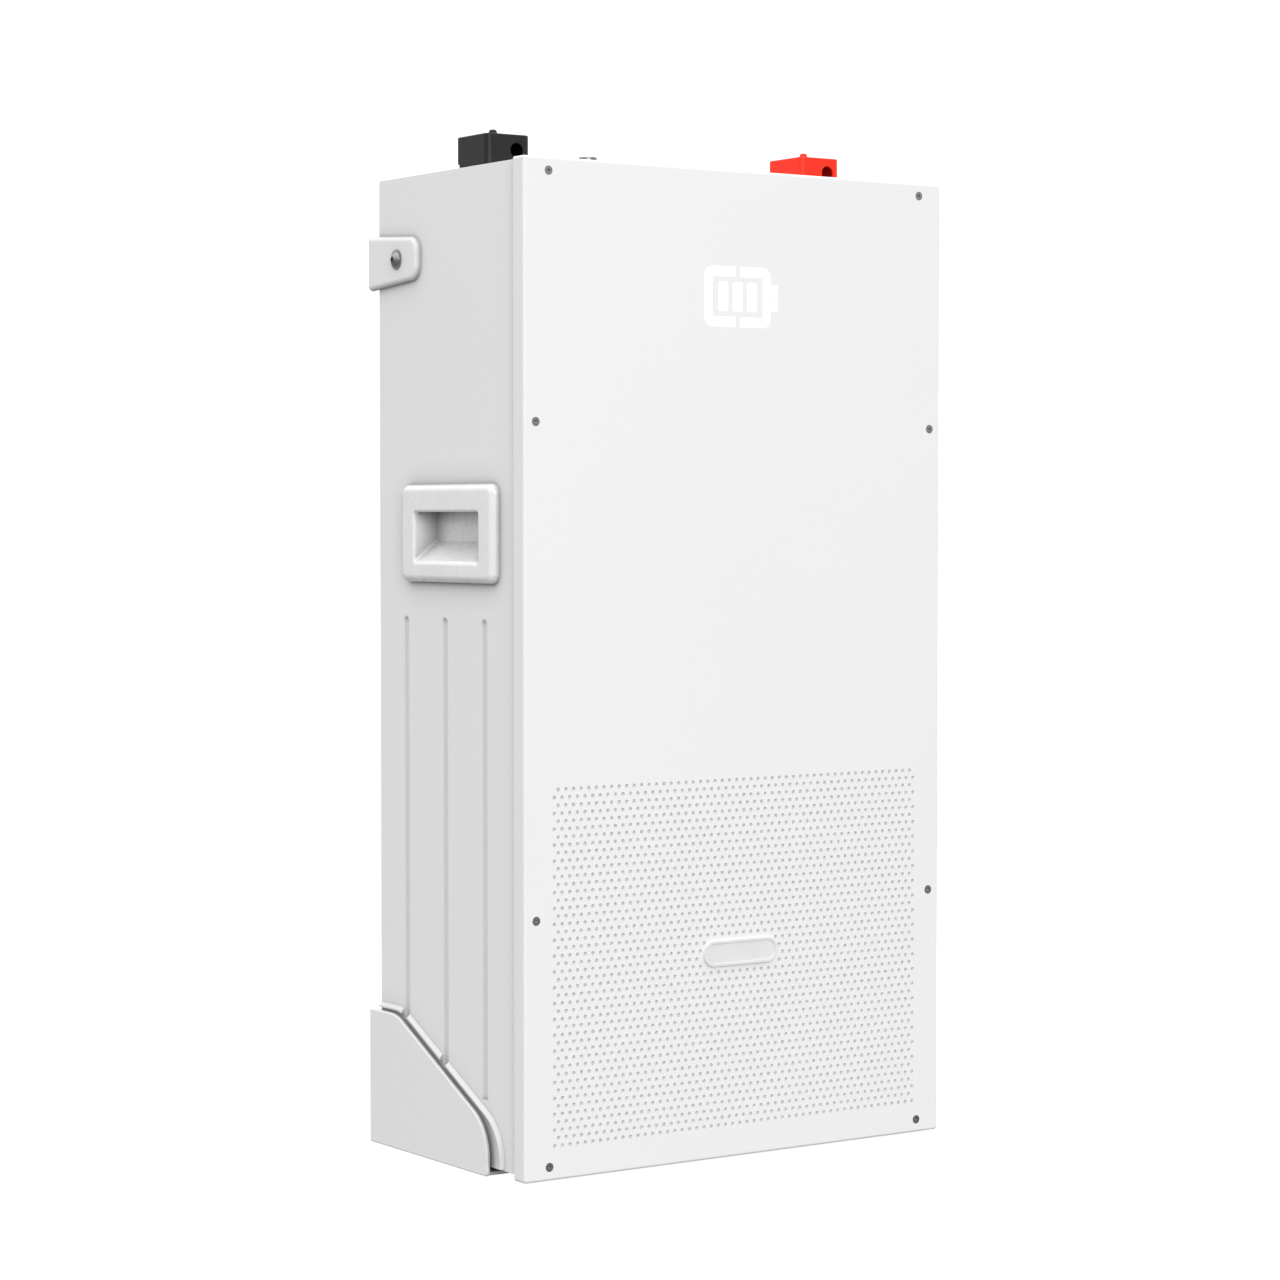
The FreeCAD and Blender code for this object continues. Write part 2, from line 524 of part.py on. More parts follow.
def handle():
    """A moulded bezel with rounded edges and a grab pocket behind it."""
    bezel = rounded_plate(HANDLE_W, HANDLE_H, HANDLE_CORNER_R, HANDLE_PROUD,
                          vec(-CASE_X - HANDLE_PROUD, HANDLE_Y, HANDLE_Z), X)
    rim = [e for e in bezel.Edges if e.BoundBox.XMax < -CASE_X - HANDLE_PROUD + 0.1]
    bezel = bezel.makeFillet(HANDLE_ROUND, rim)
    shell = bezel.fuse(grip_solid(GRIP_WALL)).cut(grip_solid(0.0))
    for y, z in handle_screw_places():
        shell = shell.cut(rod(HANDLE_SCREW_R + 0.05, 4.0, vec(-CASE_X - HANDLE_SCREW_IN - 0.1, y, z), X))
    return shell.removeSplitter()


def make_handles():
    left = handle()
    export("handle_left", left)
    export("handle_right", mirrored(left))
    screws = []
    for y, z in handle_screw_places():
        shank = rod(HANDLE_SCREW_R, HANDLE_SCREW_IN + SHEET, vec(-CASE_X - HANDLE_SCREW_IN, y, z), X)
        head = rod(HANDLE_HEAD_R, HANDLE_HEAD_H, vec(-CASE_X + SHEET, y, z), X)
        screws += both_sides(fused(shank, head))
    export("handle_screws", *screws)


# ---- wall brackets ------------------------------------------------------------------
def upper_bracket():
    """The left ear: a cast angle with one leg on the side panel and one on the wall."""
    outer = -CASE_X - EAR_T
    past_wall = WALL_Y + 30
    stretch = (past_wall - EAR_Y0) / (WALL_Y - EAR_Y0)
    outline = [(EAR_Y0, EAR_TIP_Z0), (past_wall, EAR_TIP_Z0 + (EAR_Z0 - EAR_TIP_Z0) * stretch),
               (past_wall, EAR_TIP_Z1 + (EAR_Z1 - EAR_TIP_Z1) * stretch), (EAR_Y0, EAR_TIP_Z1)]
    corners = [vec(outer, y, z) for y, z in outline]
    plate = Part.Face(Part.makePolygon(corners + corners[:1])).extrude(X * EAR_T)
    tip = [e for e in plate.Edges if abs(e.tangentAt(e.FirstParameter).x) > 0.9
           and e.BoundBox.YMax < EAR_Y0 + 1]
    plate = plate.makeFillet(EAR_R, tip)
    rim = [e for e in plate.Edges if e.BoundBox.XMax < outer + 0.1]
    plate = plate.makeFillet(EAR_ROUND, rim)
    plate = plate.cut(box(outer - 1, 0, WALL_Y, past_wall + 30, EAR_Z0 - 30, EAR_Z1 + 30))
    leg = box(-CASE_X, -EAR_LEG_X, WALL_Y - EAR_T, WALL_Y, EAR_Z0 + 2, EAR_Z1 - 2)
    corners = [e for e in leg.Edges if abs(e.tangentAt(e.FirstParameter).y) > 0.9
               and e.BoundBox.XMin > -EAR_LEG_X - 1]
    leg = leg.makeFillet(EAR_R, corners)
    bracket = plate.fuse(leg).cut(rod(BRACKET_HOLE_R, 20, vec(outer - 5, *EAR_SCREW), X))
    for x in EAR_HOLE_X:
        bracket = bracket.cut(rod(BRACKET_HOLE_R, 20, vec(-x, WALL_Y - 12, EAR_SCREW[1]), Y))
    return bracket.removeSplitter()


def ear_screw():
    """A domed M8 screw with a collar and a hexagon socket, from the left."""
    face = -CASE_X - EAR_T
    seat = face - EAR_COLLAR_H
    collar = rod(EAR_COLLAR_R, EAR_COLLAR_H, vec(seat, *EAR_SCREW), X)
    ball_r = (EAR_DOME_R ** 2 + EAR_DOME_H ** 2) / (2 * EAR_DOME_H)
    ball = Part.makeSphere(ball_r, vec(seat - EAR_DOME_H + ball_r, *EAR_SCREW))
    dome = ball.common(rod(EAR_DOME_R, EAR_DOME_H + 0.5, vec(seat - EAR_DOME_H - 0.5, *EAR_SCREW), X))
    shank = rod(EAR_SHANK_R, EAR_T + EAR_SHANK_IN, vec(face, *EAR_SCREW), X)
    socket = hex_prism(EAR_SOCKET, EAR_SOCKET_DEPTH, vec(seat - EAR_DOME_H, *EAR_SCREW), X)
    return fused(dome, collar, shank).cut(socket)


def support_bracket():
    """The lower bracket: a shelf, a wall plate and a wing on each side."""
    outer = -CASE_X - WING_OUT
    wing = yz_prism(swept_edge_outline(outer, WING_TOP_Z, WING_FRONT_Y, WING_LINE, WING_R,
                                       WALL_Y, 0), outer, outer + WING_T)
    low_front = [e for e in wing.Edges if e.BoundBox.YMax < WING_FRONT_Y + 0.1 and e.BoundBox.ZMax < 0.1]
    wing = wing.makeFillet(5.0, low_front)
    rim = [e for e in wing.Edges if e.BoundBox.XMax < outer + 0.1 and e.BoundBox.YMin < WALL_Y - 1
           and e.BoundBox.ZMax > 1]
    wing = wing.makeFillet(1.6, rim)
    inner = -outer - WING_T
    shelf = box(-inner, inner, WING_FRONT_Y + 6, WALL_Y, 0, PLATE_T)
    wall_plate = box(-inner, inner, WALL_Y - PLATE_T, WALL_Y, 0, WING_TOP_Z - 4)
    lip = box(-inner, inner, WALL_Y - PLATE_T - SHELF_LIP_D, WALL_Y - PLATE_T, 0, PLATE_T + SHELF_LIP_H)
    bracket = fused(shelf, wall_plate, lip, *both_sides(wing))
    for x in (-BRACKET_HOLE_X, BRACKET_HOLE_X):
        for z in BRACKET_HOLE_Z:
            bracket = bracket.cut(rod(BRACKET_HOLE_R, 20, vec(x, WALL_Y - 12, z), Y))
    return bracket


def make_brackets():
    left = upper_bracket()
    export("upper_bracket_left", left)
    export("upper_bracket_right", mirrored(left))
    export("ear_screws", *both_sides(ear_screw()))
    inside = vec(-CASE_X + SHEET, *EAR_SCREW)
    insert = fused(rod(INSERT_FLANGE_R, 1.0, inside, X), rod(INSERT_R, INSERT_L, inside, X))
    bore = rod(EAR_SHANK_R + 0.1, INSERT_L + 5, inside - X, X)
    export("bracket_inserts", *both_sides(insert.cut(bore)))
    export("support_bracket", support_bracket())
    pads = [rounded_plate(PAD_W, PAD_D, PAD_R, CASE_Z0 - PLATE_T, vec(x, y, PLATE_T), Z)
            for x in PAD_X for y in PAD_Y]
    export("shelf_pads", *pads)


# ---- terminals ----------------------------------------------------------------------
def terminal_block(z0, z1):
    """The terminal box's outline between two heights, on the box's own centre."""
    return rounded_plate(TERM_W, TERM_D, TERM_CORNER_R, z1 - z0, vec(0, TERM_Y, z0), Z)


def hinge_axis():
    return TERM_Y + TERM_D / 2 - HINGE_R, CASE_Z1 + TERM_BASE_H + TERM_GAP + HINGE_R


def terminal_base():
    """The insulating base, with a boss for the stud and two hinge lugs."""
    axis_y, axis_z = hinge_axis()
    top = CASE_Z1 + TERM_BASE_H
    back = TERM_Y + TERM_D / 2
    base = terminal_block(CASE_Z1, top)
    base = base.cut(box(-TERM_W, TERM_W, back - HEEL_ROOM_D, back + 1, top - HEEL_ROOM_H, top + 1))
    boss = rod(BOSS_R, BOSS_UP + BOSS_DOWN, vec(STUD_DX, TERM_Y, CASE_Z1 - BOSS_DOWN))
    lugs = []
    for side in (-1, 1):
        x0, x1 = side * LUG_X0, side * LUG_X1
        lugs.append(box(x0, x1, axis_y - HINGE_R, axis_y + HINGE_R, top - 1, axis_z))
        lugs.append(rod(HINGE_R, LUG_X1 - LUG_X0, vec(min(x0, x1), axis_y, axis_z), X))
    base = fused(base, boss, *lugs)
    cutters = [rod(HINGE_PIN_R, 2 * LUG_X1 + 2, vec(-LUG_X1 - 1, axis_y, axis_z), X),
               rod(STUD_R, 40, vec(STUD_DX, TERM_Y, CASE_Z1 - 20))]
    for dx, dy in terminal_bolt_offsets():
        cutters.append(rod(BOLT_R + 0.1, 20, vec(dx, TERM_Y + dy, CASE_Z1 - 10)))
    return base.cut(cutters)


def terminal_cover():
    """The hinged cover: an open box with a cable hole in front and a lifting nub on top."""
    axis_y, axis_z = hinge_axis()
    z0, z1 = CASE_Z1 + TERM_BASE_H + TERM_GAP, CASE_Z1 + TERM_H
    outer = terminal_block(z0, z1)
    top_edges = [e for e in outer.Edges if e.BoundBox.ZMin > z1 - 0.1]
    outer = outer.makeFillet(1.2, top_edges)
    hollow = rounded_plate(TERM_W - 2 * TERM_WALL, TERM_D - 2 * TERM_WALL, TERM_CORNER_R - TERM_WALL,
                           z1 - z0, vec(0, TERM_Y, z0 - TERM_WALL), Z)
    heel = box(-TERM_W, TERM_W, axis_y - HINGE_R - 0.1, axis_y + 20, z0 - 1, axis_z)
    shell = outer.cut([hollow, heel])
    barrel = rod(HINGE_R, 2 * HINGE_W, vec(-HINGE_W, axis_y, axis_z), X)
    nub = Part.makeCone(NUB_R, NUB_TIP_R, NUB_H, vec(0, TERM_Y, z1))
    tip = [e for e in nub.Edges if e.BoundBox.ZMin > z1 + NUB_H - 0.1]
    nub = nub.makeFillet(1.4, tip)
    shell = shell.fuse([barrel, nub])
    cutters = [rod(HINGE_PIN_R + HINGE_PLAY, 2 * TERM_W, vec(-TERM_W, axis_y, axis_z), X),
               rod(CABLE_R, TERM_D / 2, vec(STUD_DX, TERM_Y - TERM_D / 2 - 5, z1 - CABLE_DROP), Y)]
    slot = HINGE_R + 2.5
    for side in (-1, 1):
        cutters.append(box(side * (LUG_X0 - 0.4), side * (LUG_X1 + 0.4), axis_y - slot, axis_y + slot,
                           z0 - 1, axis_z + HINGE_R + 1.2))
    return shell.cut(cutters).removeSplitter()


def stud():
    """A flanged brass stud, standing on the boss, with a square foot inside the case."""
    shank = rod(STUD_R - 0.02, STUD_TOP + STUD_DOWN, vec(STUD_DX, TERM_Y, CASE_Z1 - STUD_DOWN))
    flange = rod(STUD_FLANGE_R, STUD_FLANGE_T, vec(STUD_DX, TERM_Y, CASE_Z1 + BOSS_UP))
    foot = rounded_plate(26, 24, 3, 4, vec(STUD_DX, TERM_Y, CASE_Z1 - 12), Z)
    return fused(shank, flange, foot)


def make_terminals():
    axis_y, axis_z = hinge_axis()
    pins, studs, bolts = [], [], []
    for side, name in ((-1, "negative"), (1, "positive")):
        move = vec(side * TERM_X, 0, 0)
        export(name + "_terminal_base", terminal_base().translated(move))
        export(name + "_terminal_cover", terminal_cover().translated(move))
        pins.append(rod(HINGE_PIN_R, 2 * LUG_X1, vec(-LUG_X1, axis_y, axis_z), X).translated(move))
        studs.append(stud().translated(move))
        for dx, dy in terminal_bolt_offsets():
            shank = rod(BOLT_R, TERM_BASE_H + BOLT_DOWN, vec(dx, TERM_Y + dy, CASE_Z1 - BOLT_DOWN))
            head = rod(BOLT_HEAD_R, BOLT_HEAD_H, vec(dx, TERM_Y + dy, CASE_Z1 + TERM_BASE_H))
            socket = hex_prism(SCREW_SOCKET, BOLT_HEAD_H, vec(dx, TERM_Y + dy, CASE_Z1 + TERM_BASE_H + 1), Z)
            bolts.append(fused(shank, head).cut(socket).translated(move))
    export("terminal_hinge_pins", *pins)
    export("terminal_studs", *studs)
    export("terminal_base_screws", *bolts)


# ---- controls on top ----------------------------------------------------------------
def make_controls():
    at = vec(BUTTON_X, BUTTON_Y, CASE_Z1)
    neck = fused(rod(BUTTON_BEZEL_R, BUTTON_BEZEL_H, at),
                 rod(BUTTON_NECK_R, BUTTON_NECK_L, at - Z * BUTTON_NECK_L),
                 hex_prism(BUTTON_NECK_R + 2.5, 3.5, at - Z * 5, Z))
    export("power_button_bezel", neck.cut(rod(BUTTON_STEM_R + 0.3, 30, at - Z * 18)))
    cap_low = BUTTON_BEZEL_H + OPENING_PLAY + BUTTON_TRAVEL
    cap = rod(BUTTON_CAP_R, BUTTON_TOP - cap_low, at + Z * cap_low)
    crown = [e for e in cap.Edges if e.BoundBox.ZMin > CASE_Z1 + BUTTON_TOP - 0.1]
    cap = cap.makeFillet(0.9, crown)
    dish = Part.makeSphere(BUTTON_DISH_R, at + Z * (BUTTON_TOP + BUTTON_DISH_R - 0.4))
    stem = rod(BUTTON_STEM_R, BUTTON_STEM_L, at - Z * 12)
    export("power_button", fused(cap.cut(dish), stem))

    jacks = []
    for x in PORT_X:
        jack = box(x - PORT_W / 2, x + PORT_W / 2, PORT_Y - PORT_D / 2, PORT_Y + PORT_D / 2,
                   BOARD_TOP_Z, BOARD_TOP_Z + PORT_H)
        socket = box(x - 5.9, x + 5.9, PORT_Y - 4.5, PORT_Y + 3.0, BOARD_TOP_Z + 2, CASE_Z1 + 20)
        latch = box(x - 3.2, x + 3.2, PORT_Y + 3.0, PORT_Y + 5.4, BOARD_TOP_Z + 2, CASE_Z1 + 20)
        jacks.append(jack.cut(socket).cut(latch))
    export("data_ports", *jacks)

    board = box(-42, 62, PORT_Y - 16, PORT_Y + 16, BOARD_TOP_Z - PCB_T, BOARD_TOP_Z)
    export("interface_board", board)

    top = BOARD_TOP_Z + DIP_H
    body = box(DIP_X - DIP_W / 2, DIP_X + DIP_W / 2, PORT_Y - DIP_D / 2, PORT_Y + DIP_D / 2,
               BOARD_TOP_Z, top)
    levers = []
    for i in range(DIP_LEVERS):
        x = DIP_X + (i - (DIP_LEVERS - 1) / 2) * DIP_PITCH
        body = body.cut(box(x - 0.7, x + 0.7, PORT_Y - 1.9, PORT_Y + 1.9, top - 1.6, top + 1))
        levers.append(box(x - 0.5, x + 0.5, PORT_Y - 1.7, PORT_Y - 0.3, top - 1.4, top + 0.9))
    for i, lever in enumerate(levers):
        export("address_lever_%d" % (i + 1), lever)

    half = RESET_BODY / 2
    housing = box(RESET_X - half, RESET_X + half, PORT_Y - half, PORT_Y + half,
                  BOARD_TOP_Z, BOARD_TOP_Z + RESET_BODY_H)
    housing = housing.cut(rod(RESET_R + 0.2, RESET_BODY_H, vec(RESET_X, PORT_Y, BOARD_TOP_Z + 1.6)))
    export("switch_bodies", body, housing)
    plunger = rod(RESET_R, CASE_Z1 - BOARD_TOP_Z - 2.6, vec(RESET_X, PORT_Y, BOARD_TOP_Z + 3.1))
    export("reset_button", plunger)

    post = rod(EARTH_R, EARTH_L, vec(EARTH_X, EARTH_Y, CASE_Z1 - 10))
    nuts = [hex_prism(EARTH_NUT, EARTH_NUT_H, vec(EARTH_X, EARTH_Y, z), Z)
            for z in (CASE_Z1, CASE_Z1 - SHEET - EARTH_NUT_H)]
    export("earth_stud", fused(post, *nuts))


# ---- cells --------------------------------------------------------------------------
def cell_z(i):
    return CASE_Z0 + SHEET + RAIL_H + END_T + i * (CELL_T + CELL_GAP)


def make_cells():
    front = CELL_Y1 - CELL_L
    stack_top = cell_z(CELL_COUNT) - CELL_GAP
    for side, name in ((-1, "left"), (1, "right")):
        x = side * COLUMN_X
        cells = []
        for i in range(CELL_COUNT):
            can = box(x - CELL_W / 2, x + CELL_W / 2, front, CELL_Y1, cell_z(i), cell_z(i) + CELL_T)
            lengthwise = [e for e in can.Edges if abs(e.tangentAt(e.FirstParameter).y) > 0.9]
            cells.append(can.makeFillet(CELL_EDGE_R, lengthwise))
        export("cells_" + name, *cells)

    columns = (-COLUMN_X, COLUMN_X)
    posts = [rod(POST_R, POST_H, vec(x + dx, front - POST_H, cell_z(i) + CELL_T / 2), Y)
             for x in columns for dx in (-POST_X, POST_X) for i in range(CELL_COUNT)]
    export("cell_posts", *posts)
    half = CELL_W / 2 - CELL_SPACER_INSET
    sheets = [box(x - half, x + half, front + CELL_SPACER_INSET, CELL_Y1 - CELL_SPACER_INSET,
                  cell_z(i) - CELL_GAP, cell_z(i))
              for x in columns for i in range(1, CELL_COUNT)]
    export("cell_spacers", *sheets)

    plates = []
    for z in (cell_z(0) - END_T, stack_top):
        plate = box(-ROD_X - 9, ROD_X + 9, front + 8, CELL_Y1, z, z + END_T)
        plates.append(plate.cut([rod(ROD_R + 0.2, 40, vec(rx, ry, z - 10)) for rx, ry in rod_places()]))
    export("end_plates", *plates)
    rods = []
    for rx, ry in rod_places():
        low = vec(rx, ry, cell_z(0) - END_T - ROD_OUT)
        nuts = [hex_prism(ROD_NUT, ROD_NUT_H, vec(rx, ry, z), Z)
                for z in (cell_z(0) - END_T - ROD_NUT_H, stack_top + END_T)]
        rods.append(fused(rod(ROD_R, stack_top - cell_z(0) + 2 * (END_T + ROD_OUT), low), *nuts))
    export("tie_rods", *rods)
    export("cell_rails", *[cell_rail(y) for y in RAIL_Y])

    make_links(front - POST_H)


def cell_rail(y):
    """A channel, open downwards, that carries the cells."""
    low, high, half = CASE_Z0 + SHEET, CASE_Z0 + SHEET + RAIL_H, RAIL_W / 2
    channel = box(-RAIL_X, RAIL_X, y - half, y + half, low, high)
    return channel.cut(box(-RAIL_X - 1, RAIL_X + 1, y - half + RAIL_WALL, y + half - RAIL_WALL,
                           low - 1, high - RAIL_WALL))


def rod_places():
    return [(x, y) for x in (-ROD_X, 0, ROD_X) for y in ROD_Y]


def make_links(post_face):
    """Copper links that put all the cells in series, and their plastic carriers."""
    links, carriers, ribbons = [], [], []
    for side in (-1, 1):
        for i in range(CELL_COUNT - 1):
            outward = side if i % 2 == 0 else -side
            x = side * COLUMN_X + outward * POST_X
            past = LINK_W / 2 - 1
            low, high = cell_z(i) + CELL_T / 2 - past, cell_z(i + 1) + CELL_T / 2 + past
            links.append(box(x - LINK_W / 2, x + LINK_W / 2, post_face - LINK_T, post_face, low, high))
        for dx in (-POST_X, POST_X):
            x = side * COLUMN_X + dx
            carrier = box(x - CARRIER_W / 2, x + CARRIER_W / 2, post_face, post_face + POST_H - 0.5,
                          cell_z(0) + 8, cell_z(CELL_COUNT) - 8)
            holes = [rod(POST_R + 1, 20, vec(x, post_face - 5, cell_z(i) + CELL_T / 2), Y)
                     for i in range(CELL_COUNT)]
            carriers.append(carrier.cut(holes))
        x = side * COLUMN_X
        ribbons.append(box(x - RIBBON_W / 2, x + RIBBON_W / 2, post_face - RIBBON_T, post_face,
                           cell_z(0) + 12, BMS_Z0 + 24))
    z = cell_z(0) + CELL_T / 2
    reach = COLUMN_X - POST_X + LINK_W / 2
    links.append(box(-reach, reach, post_face - LINK_T, post_face, z - LINK_W / 2, z + LINK_W / 2))
    export("cell_links", *links)
    export("link_carriers", *carriers)
    export("sense_ribbons", *ribbons)


# ---- management board and main bars -------------------------------------------------
def make_electronics():
    plate = box(-BMS_X - 10, BMS_X + 10, SPREADER_Y, SPREADER_Y + SPREADER_T, BMS_Z0 - 10, BMS_Z1 + 10)
    fin_x = [(i - (FIN_COUNT - 1) / 2) * FIN_PITCH for i in range(FIN_COUNT)]
    fins = [box(x - FIN_T / 2, x + FIN_T / 2, SPREADER_Y + SPREADER_T, SPREADER_Y + SPREADER_T + FIN_H,
                BMS_Z0, BMS_Z1) for x in fin_x]
    export("heat_spreader", fused(plate, *fins))

    board_y = SPREADER_Y - BMS_GAP - PCB_T
    export("bms_board", rounded_plate(2 * BMS_X - 10, BMS_Z1 - BMS_Z0 - 10, 4, PCB_T,
                                      vec(0, board_y, (BMS_Z0 + BMS_Z1) / 2)))
    places = [(x, z) for x in (-BMS_X + 12, 0, BMS_X - 12) for z in (BMS_Z0 + 12, BMS_Z1 - 12)]
    standoffs = [rod(3.0, BMS_GAP, vec(x, board_y + PCB_T, z), Y) for x, z in places]
    standoffs += [rod(6, CASE_Y1 - SHEET - SPREADER_Y - SPREADER_T, vec(x, SPREADER_Y + SPREADER_T, z), Y)
                  for x in (-BMS_X, BMS_X) for z in (BMS_Z0 + 5, BMS_Z1 - 5)]
    standoffs += [rod(2.6, CASE_Z1 - SHEET - BOARD_TOP_Z, vec(x, PORT_Y + y, BOARD_TOP_Z))
                  for x in (-39, 59) for y in (-12.5, 12.5)]
    export("board_standoffs", *standoffs)
    seat = board_y - BOARD_SCREW_H
    export("board_screws", *[rod(BOARD_SCREW_R, BOARD_SCREW_H, vec(x, seat, z), Y)
                             .cut(hex_prism(SCREW_SOCKET, 1.4, vec(x, seat, z), Y)) for x, z in places])
    half_w, half_h = TRANSISTOR_W / 2, TRANSISTOR_H / 2
    transistors = [box(x - half_w, x + half_w, board_y - TRANSISTOR_D, board_y, z - half_h, z + half_h)
                   for x in range(-105, 1, 15) for z in (720, 745, 770, 795)]
    export("bms_capacitors", *[rod(CAPACITOR_R, CAPACITOR_L, vec(x, board_y - CAPACITOR_L, z), Y)
                               for x in (45, 65, 85, 105) for z in (770, 800)])
    sockets = [box(x - 18, x + 18, board_y - 9, board_y, BMS_Z0 + 20, BMS_Z0 + 30)
               for x in (-COLUMN_X, COLUMN_X)]
    chips = [box(x - 7, x + 7, board_y - 1.8, board_y, 725, 739) for x in (30, 60, 90)]
    export("bms_chips", *transistors, *sockets, *chips)
    make_main_bars(board_y)

    bar_face = bar_front()
    body = box(FUSE_X - FUSE_W / 2, FUSE_X + FUSE_W / 2, bar_face - FUSE_BODY[0], bar_face + FUSE_BODY[1],
               FUSE_Z0 + FUSE_BLADE, FUSE_Z1 - FUSE_BLADE)
    blades = [box(FUSE_X - BAR_W / 2, FUSE_X + BAR_W / 2, bar_face - BAR_T, bar_face, z0, z1)
              for z0, z1 in ((FUSE_Z0, FUSE_Z0 + FUSE_BLADE), (FUSE_Z1 - FUSE_BLADE, FUSE_Z1))]
    lengthwise = [e for e in body.Edges if abs(e.tangentAt(e.FirstParameter).z) > 0.9]
    export("main_fuse", fused(body.makeFillet(4, lengthwise), *blades))


def bar_front():
    """Front face of the bars that lie on the cells' posts."""
    return CELL_Y1 - CELL_L - POST_H - BAR_T


def make_main_bars(board_y):
    """Flat bars from the last cell in each column to the board, the fuse and the studs."""
    inner_x = COLUMN_X - POST_X
    last_z = cell_z(CELL_COUNT - 1) + CELL_T / 2
    w = BAR_W / 2
    front = bar_front()
    back = front + BAR_T
    stud_foot = CASE_Z1 - STUD_DOWN
    lower = fused(box(inner_x - w, inner_x + w, front, back, last_z - w, 700),
                  box(inner_x - w, FUSE_X + w, front, back, 700, 720),
                  box(FUSE_X - w, FUSE_X + w, front, back, 720, FUSE_Z0 + 10))
    upper = fused(box(FUSE_X - w, FUSE_X + w, front, back, FUSE_Z1 - 10, stud_foot),
                  box(FUSE_X - w, FUSE_X + w, front, TERM_Y + 12, stud_foot - BAR_T, stud_foot))
    export("positive_bar", lower, upper)

    pad_y = board_y - BAR_T
    cell_side = fused(box(-inner_x - w, -inner_x + w, front, back, last_z - w, BMS_Z0 + 25),
                      box(-inner_x - w, -inner_x + w, front, board_y, BMS_Z0 + 22, BMS_Z0 + 25),
                      box(-inner_x - w, -inner_x + w, pad_y, board_y, BMS_Z0 + 22, BMS_Z0 + 45))
    stud_x = -TERM_X + STUD_DX
    load_side = fused(box(stud_x - w, -90, pad_y, board_y, 815, 835),
                      box(stud_x - w, stud_x + w, pad_y, board_y, 815, stud_foot),
                      box(stud_x - w, stud_x + w, TERM_Y - 12, board_y, stud_foot - BAR_T, stud_foot))
    export("negative_bar", cell_side, load_side)


os.makedirs("parts", exist_ok=True)
make_cover()
make_case()
make_handles()
make_brackets()
make_terminals()
make_controls()
make_cells()
make_electronics()
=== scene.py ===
"""Wall battery unit: materials, finer pieces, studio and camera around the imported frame."""
import json
import math

import bmesh
import bpy
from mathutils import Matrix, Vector
from mathutils.geometry import delaunay_2d_cdt


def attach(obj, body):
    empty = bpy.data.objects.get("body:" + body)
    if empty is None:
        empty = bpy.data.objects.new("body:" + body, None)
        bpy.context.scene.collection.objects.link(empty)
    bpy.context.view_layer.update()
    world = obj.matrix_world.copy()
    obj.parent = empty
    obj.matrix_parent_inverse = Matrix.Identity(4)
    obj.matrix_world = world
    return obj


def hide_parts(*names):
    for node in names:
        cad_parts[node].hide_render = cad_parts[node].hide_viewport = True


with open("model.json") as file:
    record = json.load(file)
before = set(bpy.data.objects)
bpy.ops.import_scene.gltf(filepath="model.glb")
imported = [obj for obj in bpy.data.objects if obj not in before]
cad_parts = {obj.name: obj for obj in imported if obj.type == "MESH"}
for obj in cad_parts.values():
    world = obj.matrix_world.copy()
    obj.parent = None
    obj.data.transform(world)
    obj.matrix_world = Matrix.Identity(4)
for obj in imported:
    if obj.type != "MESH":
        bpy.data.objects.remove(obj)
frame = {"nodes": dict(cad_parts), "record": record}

MM = 0.001                      # one millimetre in Blender's metres

# ---- front cover, in millimetres ---------------------------------------------------------
SHEET = 1.5
COVER_HALF, COVER_LOW, COVER_HIGH = 231.0, 3.0, 893.0
COVER_FRONT, COVER_DEPTH = -131.0, 17.0
COVER_EDGE, EDGE_STEPS = 2.5, 6
HOLE_RADIUS, HOLE_SIDES = 1.9, 12
HOLE_PITCH = 8.0
HOLE_ROW = HOLE_PITCH * math.sqrt(3) / 2
HOLE_COLUMNS, HOLE_ROWS = 51, 46
FIELD_LOW = 33.0                # height of the lowest row of holes
BADGE_W, BADGE_H, BADGE_Z = 82.0, 22.7, 189.0
BADGE_MARGIN = 0.5              # sheet left between the badge and the nearest hole
SINK_RADIUS, SINK_TAPER, SINK_SIDES = 4.1, 1.4, 48
SINKS = [(x, z) for x in (-205.3, 205.3) for z in (15.0, 881.0)]
SINKS += [(x, z) for x in (-218.7, 218.7) for z in (231.4, 664.3)]
LIGHT_X, LIGHT_Z = -3.5, 779.5
LIGHT_W, LIGHT_H, LIGHT_STROKE, LIGHT_GAP = 74.0, 54.0, 9.0, 5.0
LIGHT_NUB_W, LIGHT_NUB_H = 7.0, 24.0
LIGHT_NUB_OUT = 1.0             # the nub starts this far outside the symbol's outline
LIGHT_BAR_W, LIGHT_BAR_H, LIGHT_BAR_R = 11.0, 26.0, 1.5
LIGHT_OUTER_R, LIGHT_INNER_R = 9.0, 3.0

# ---- handle, in millimetres --------------------------------------------------------------
CASE_SIDE = 228.0
HANDLE_Y, HANDLE_Z = -7.0, 567.3
HANDLE_HALF_W, HANDLE_HALF_H, HANDLE_PROUD = 79.5, 44.0, 7.8
HANDLE_ROUND, HANDLE_CORNER = 6.6, 9.0
GRIP_HALF_W, GRIP_LOW, GRIP_HIGH = 55.0, 541.0, 586.5
GRIP_DEPTH, GRIP_FLOOR_RISE, GRIP_ROOF_RISE = 25.0, 19.0, 12.0
GRIP_WALL, GRIP_CORNER, LIP_ROUND = 2.5, 3.0, 2.5
LIP_DEPTHS = (5.0, 9.0)         # where the roof behind the lip starts and ends its rise
RIM_STEPS, MOUTH_STEPS = 8, 6

# ---- mesh clean-up: angle of a sharp edge, and gaps in millimetres -----------------------
SHARP_ANGLE = math.radians(32)
MERGE_GAP, FLAT_GAP = 0.01, 0.001

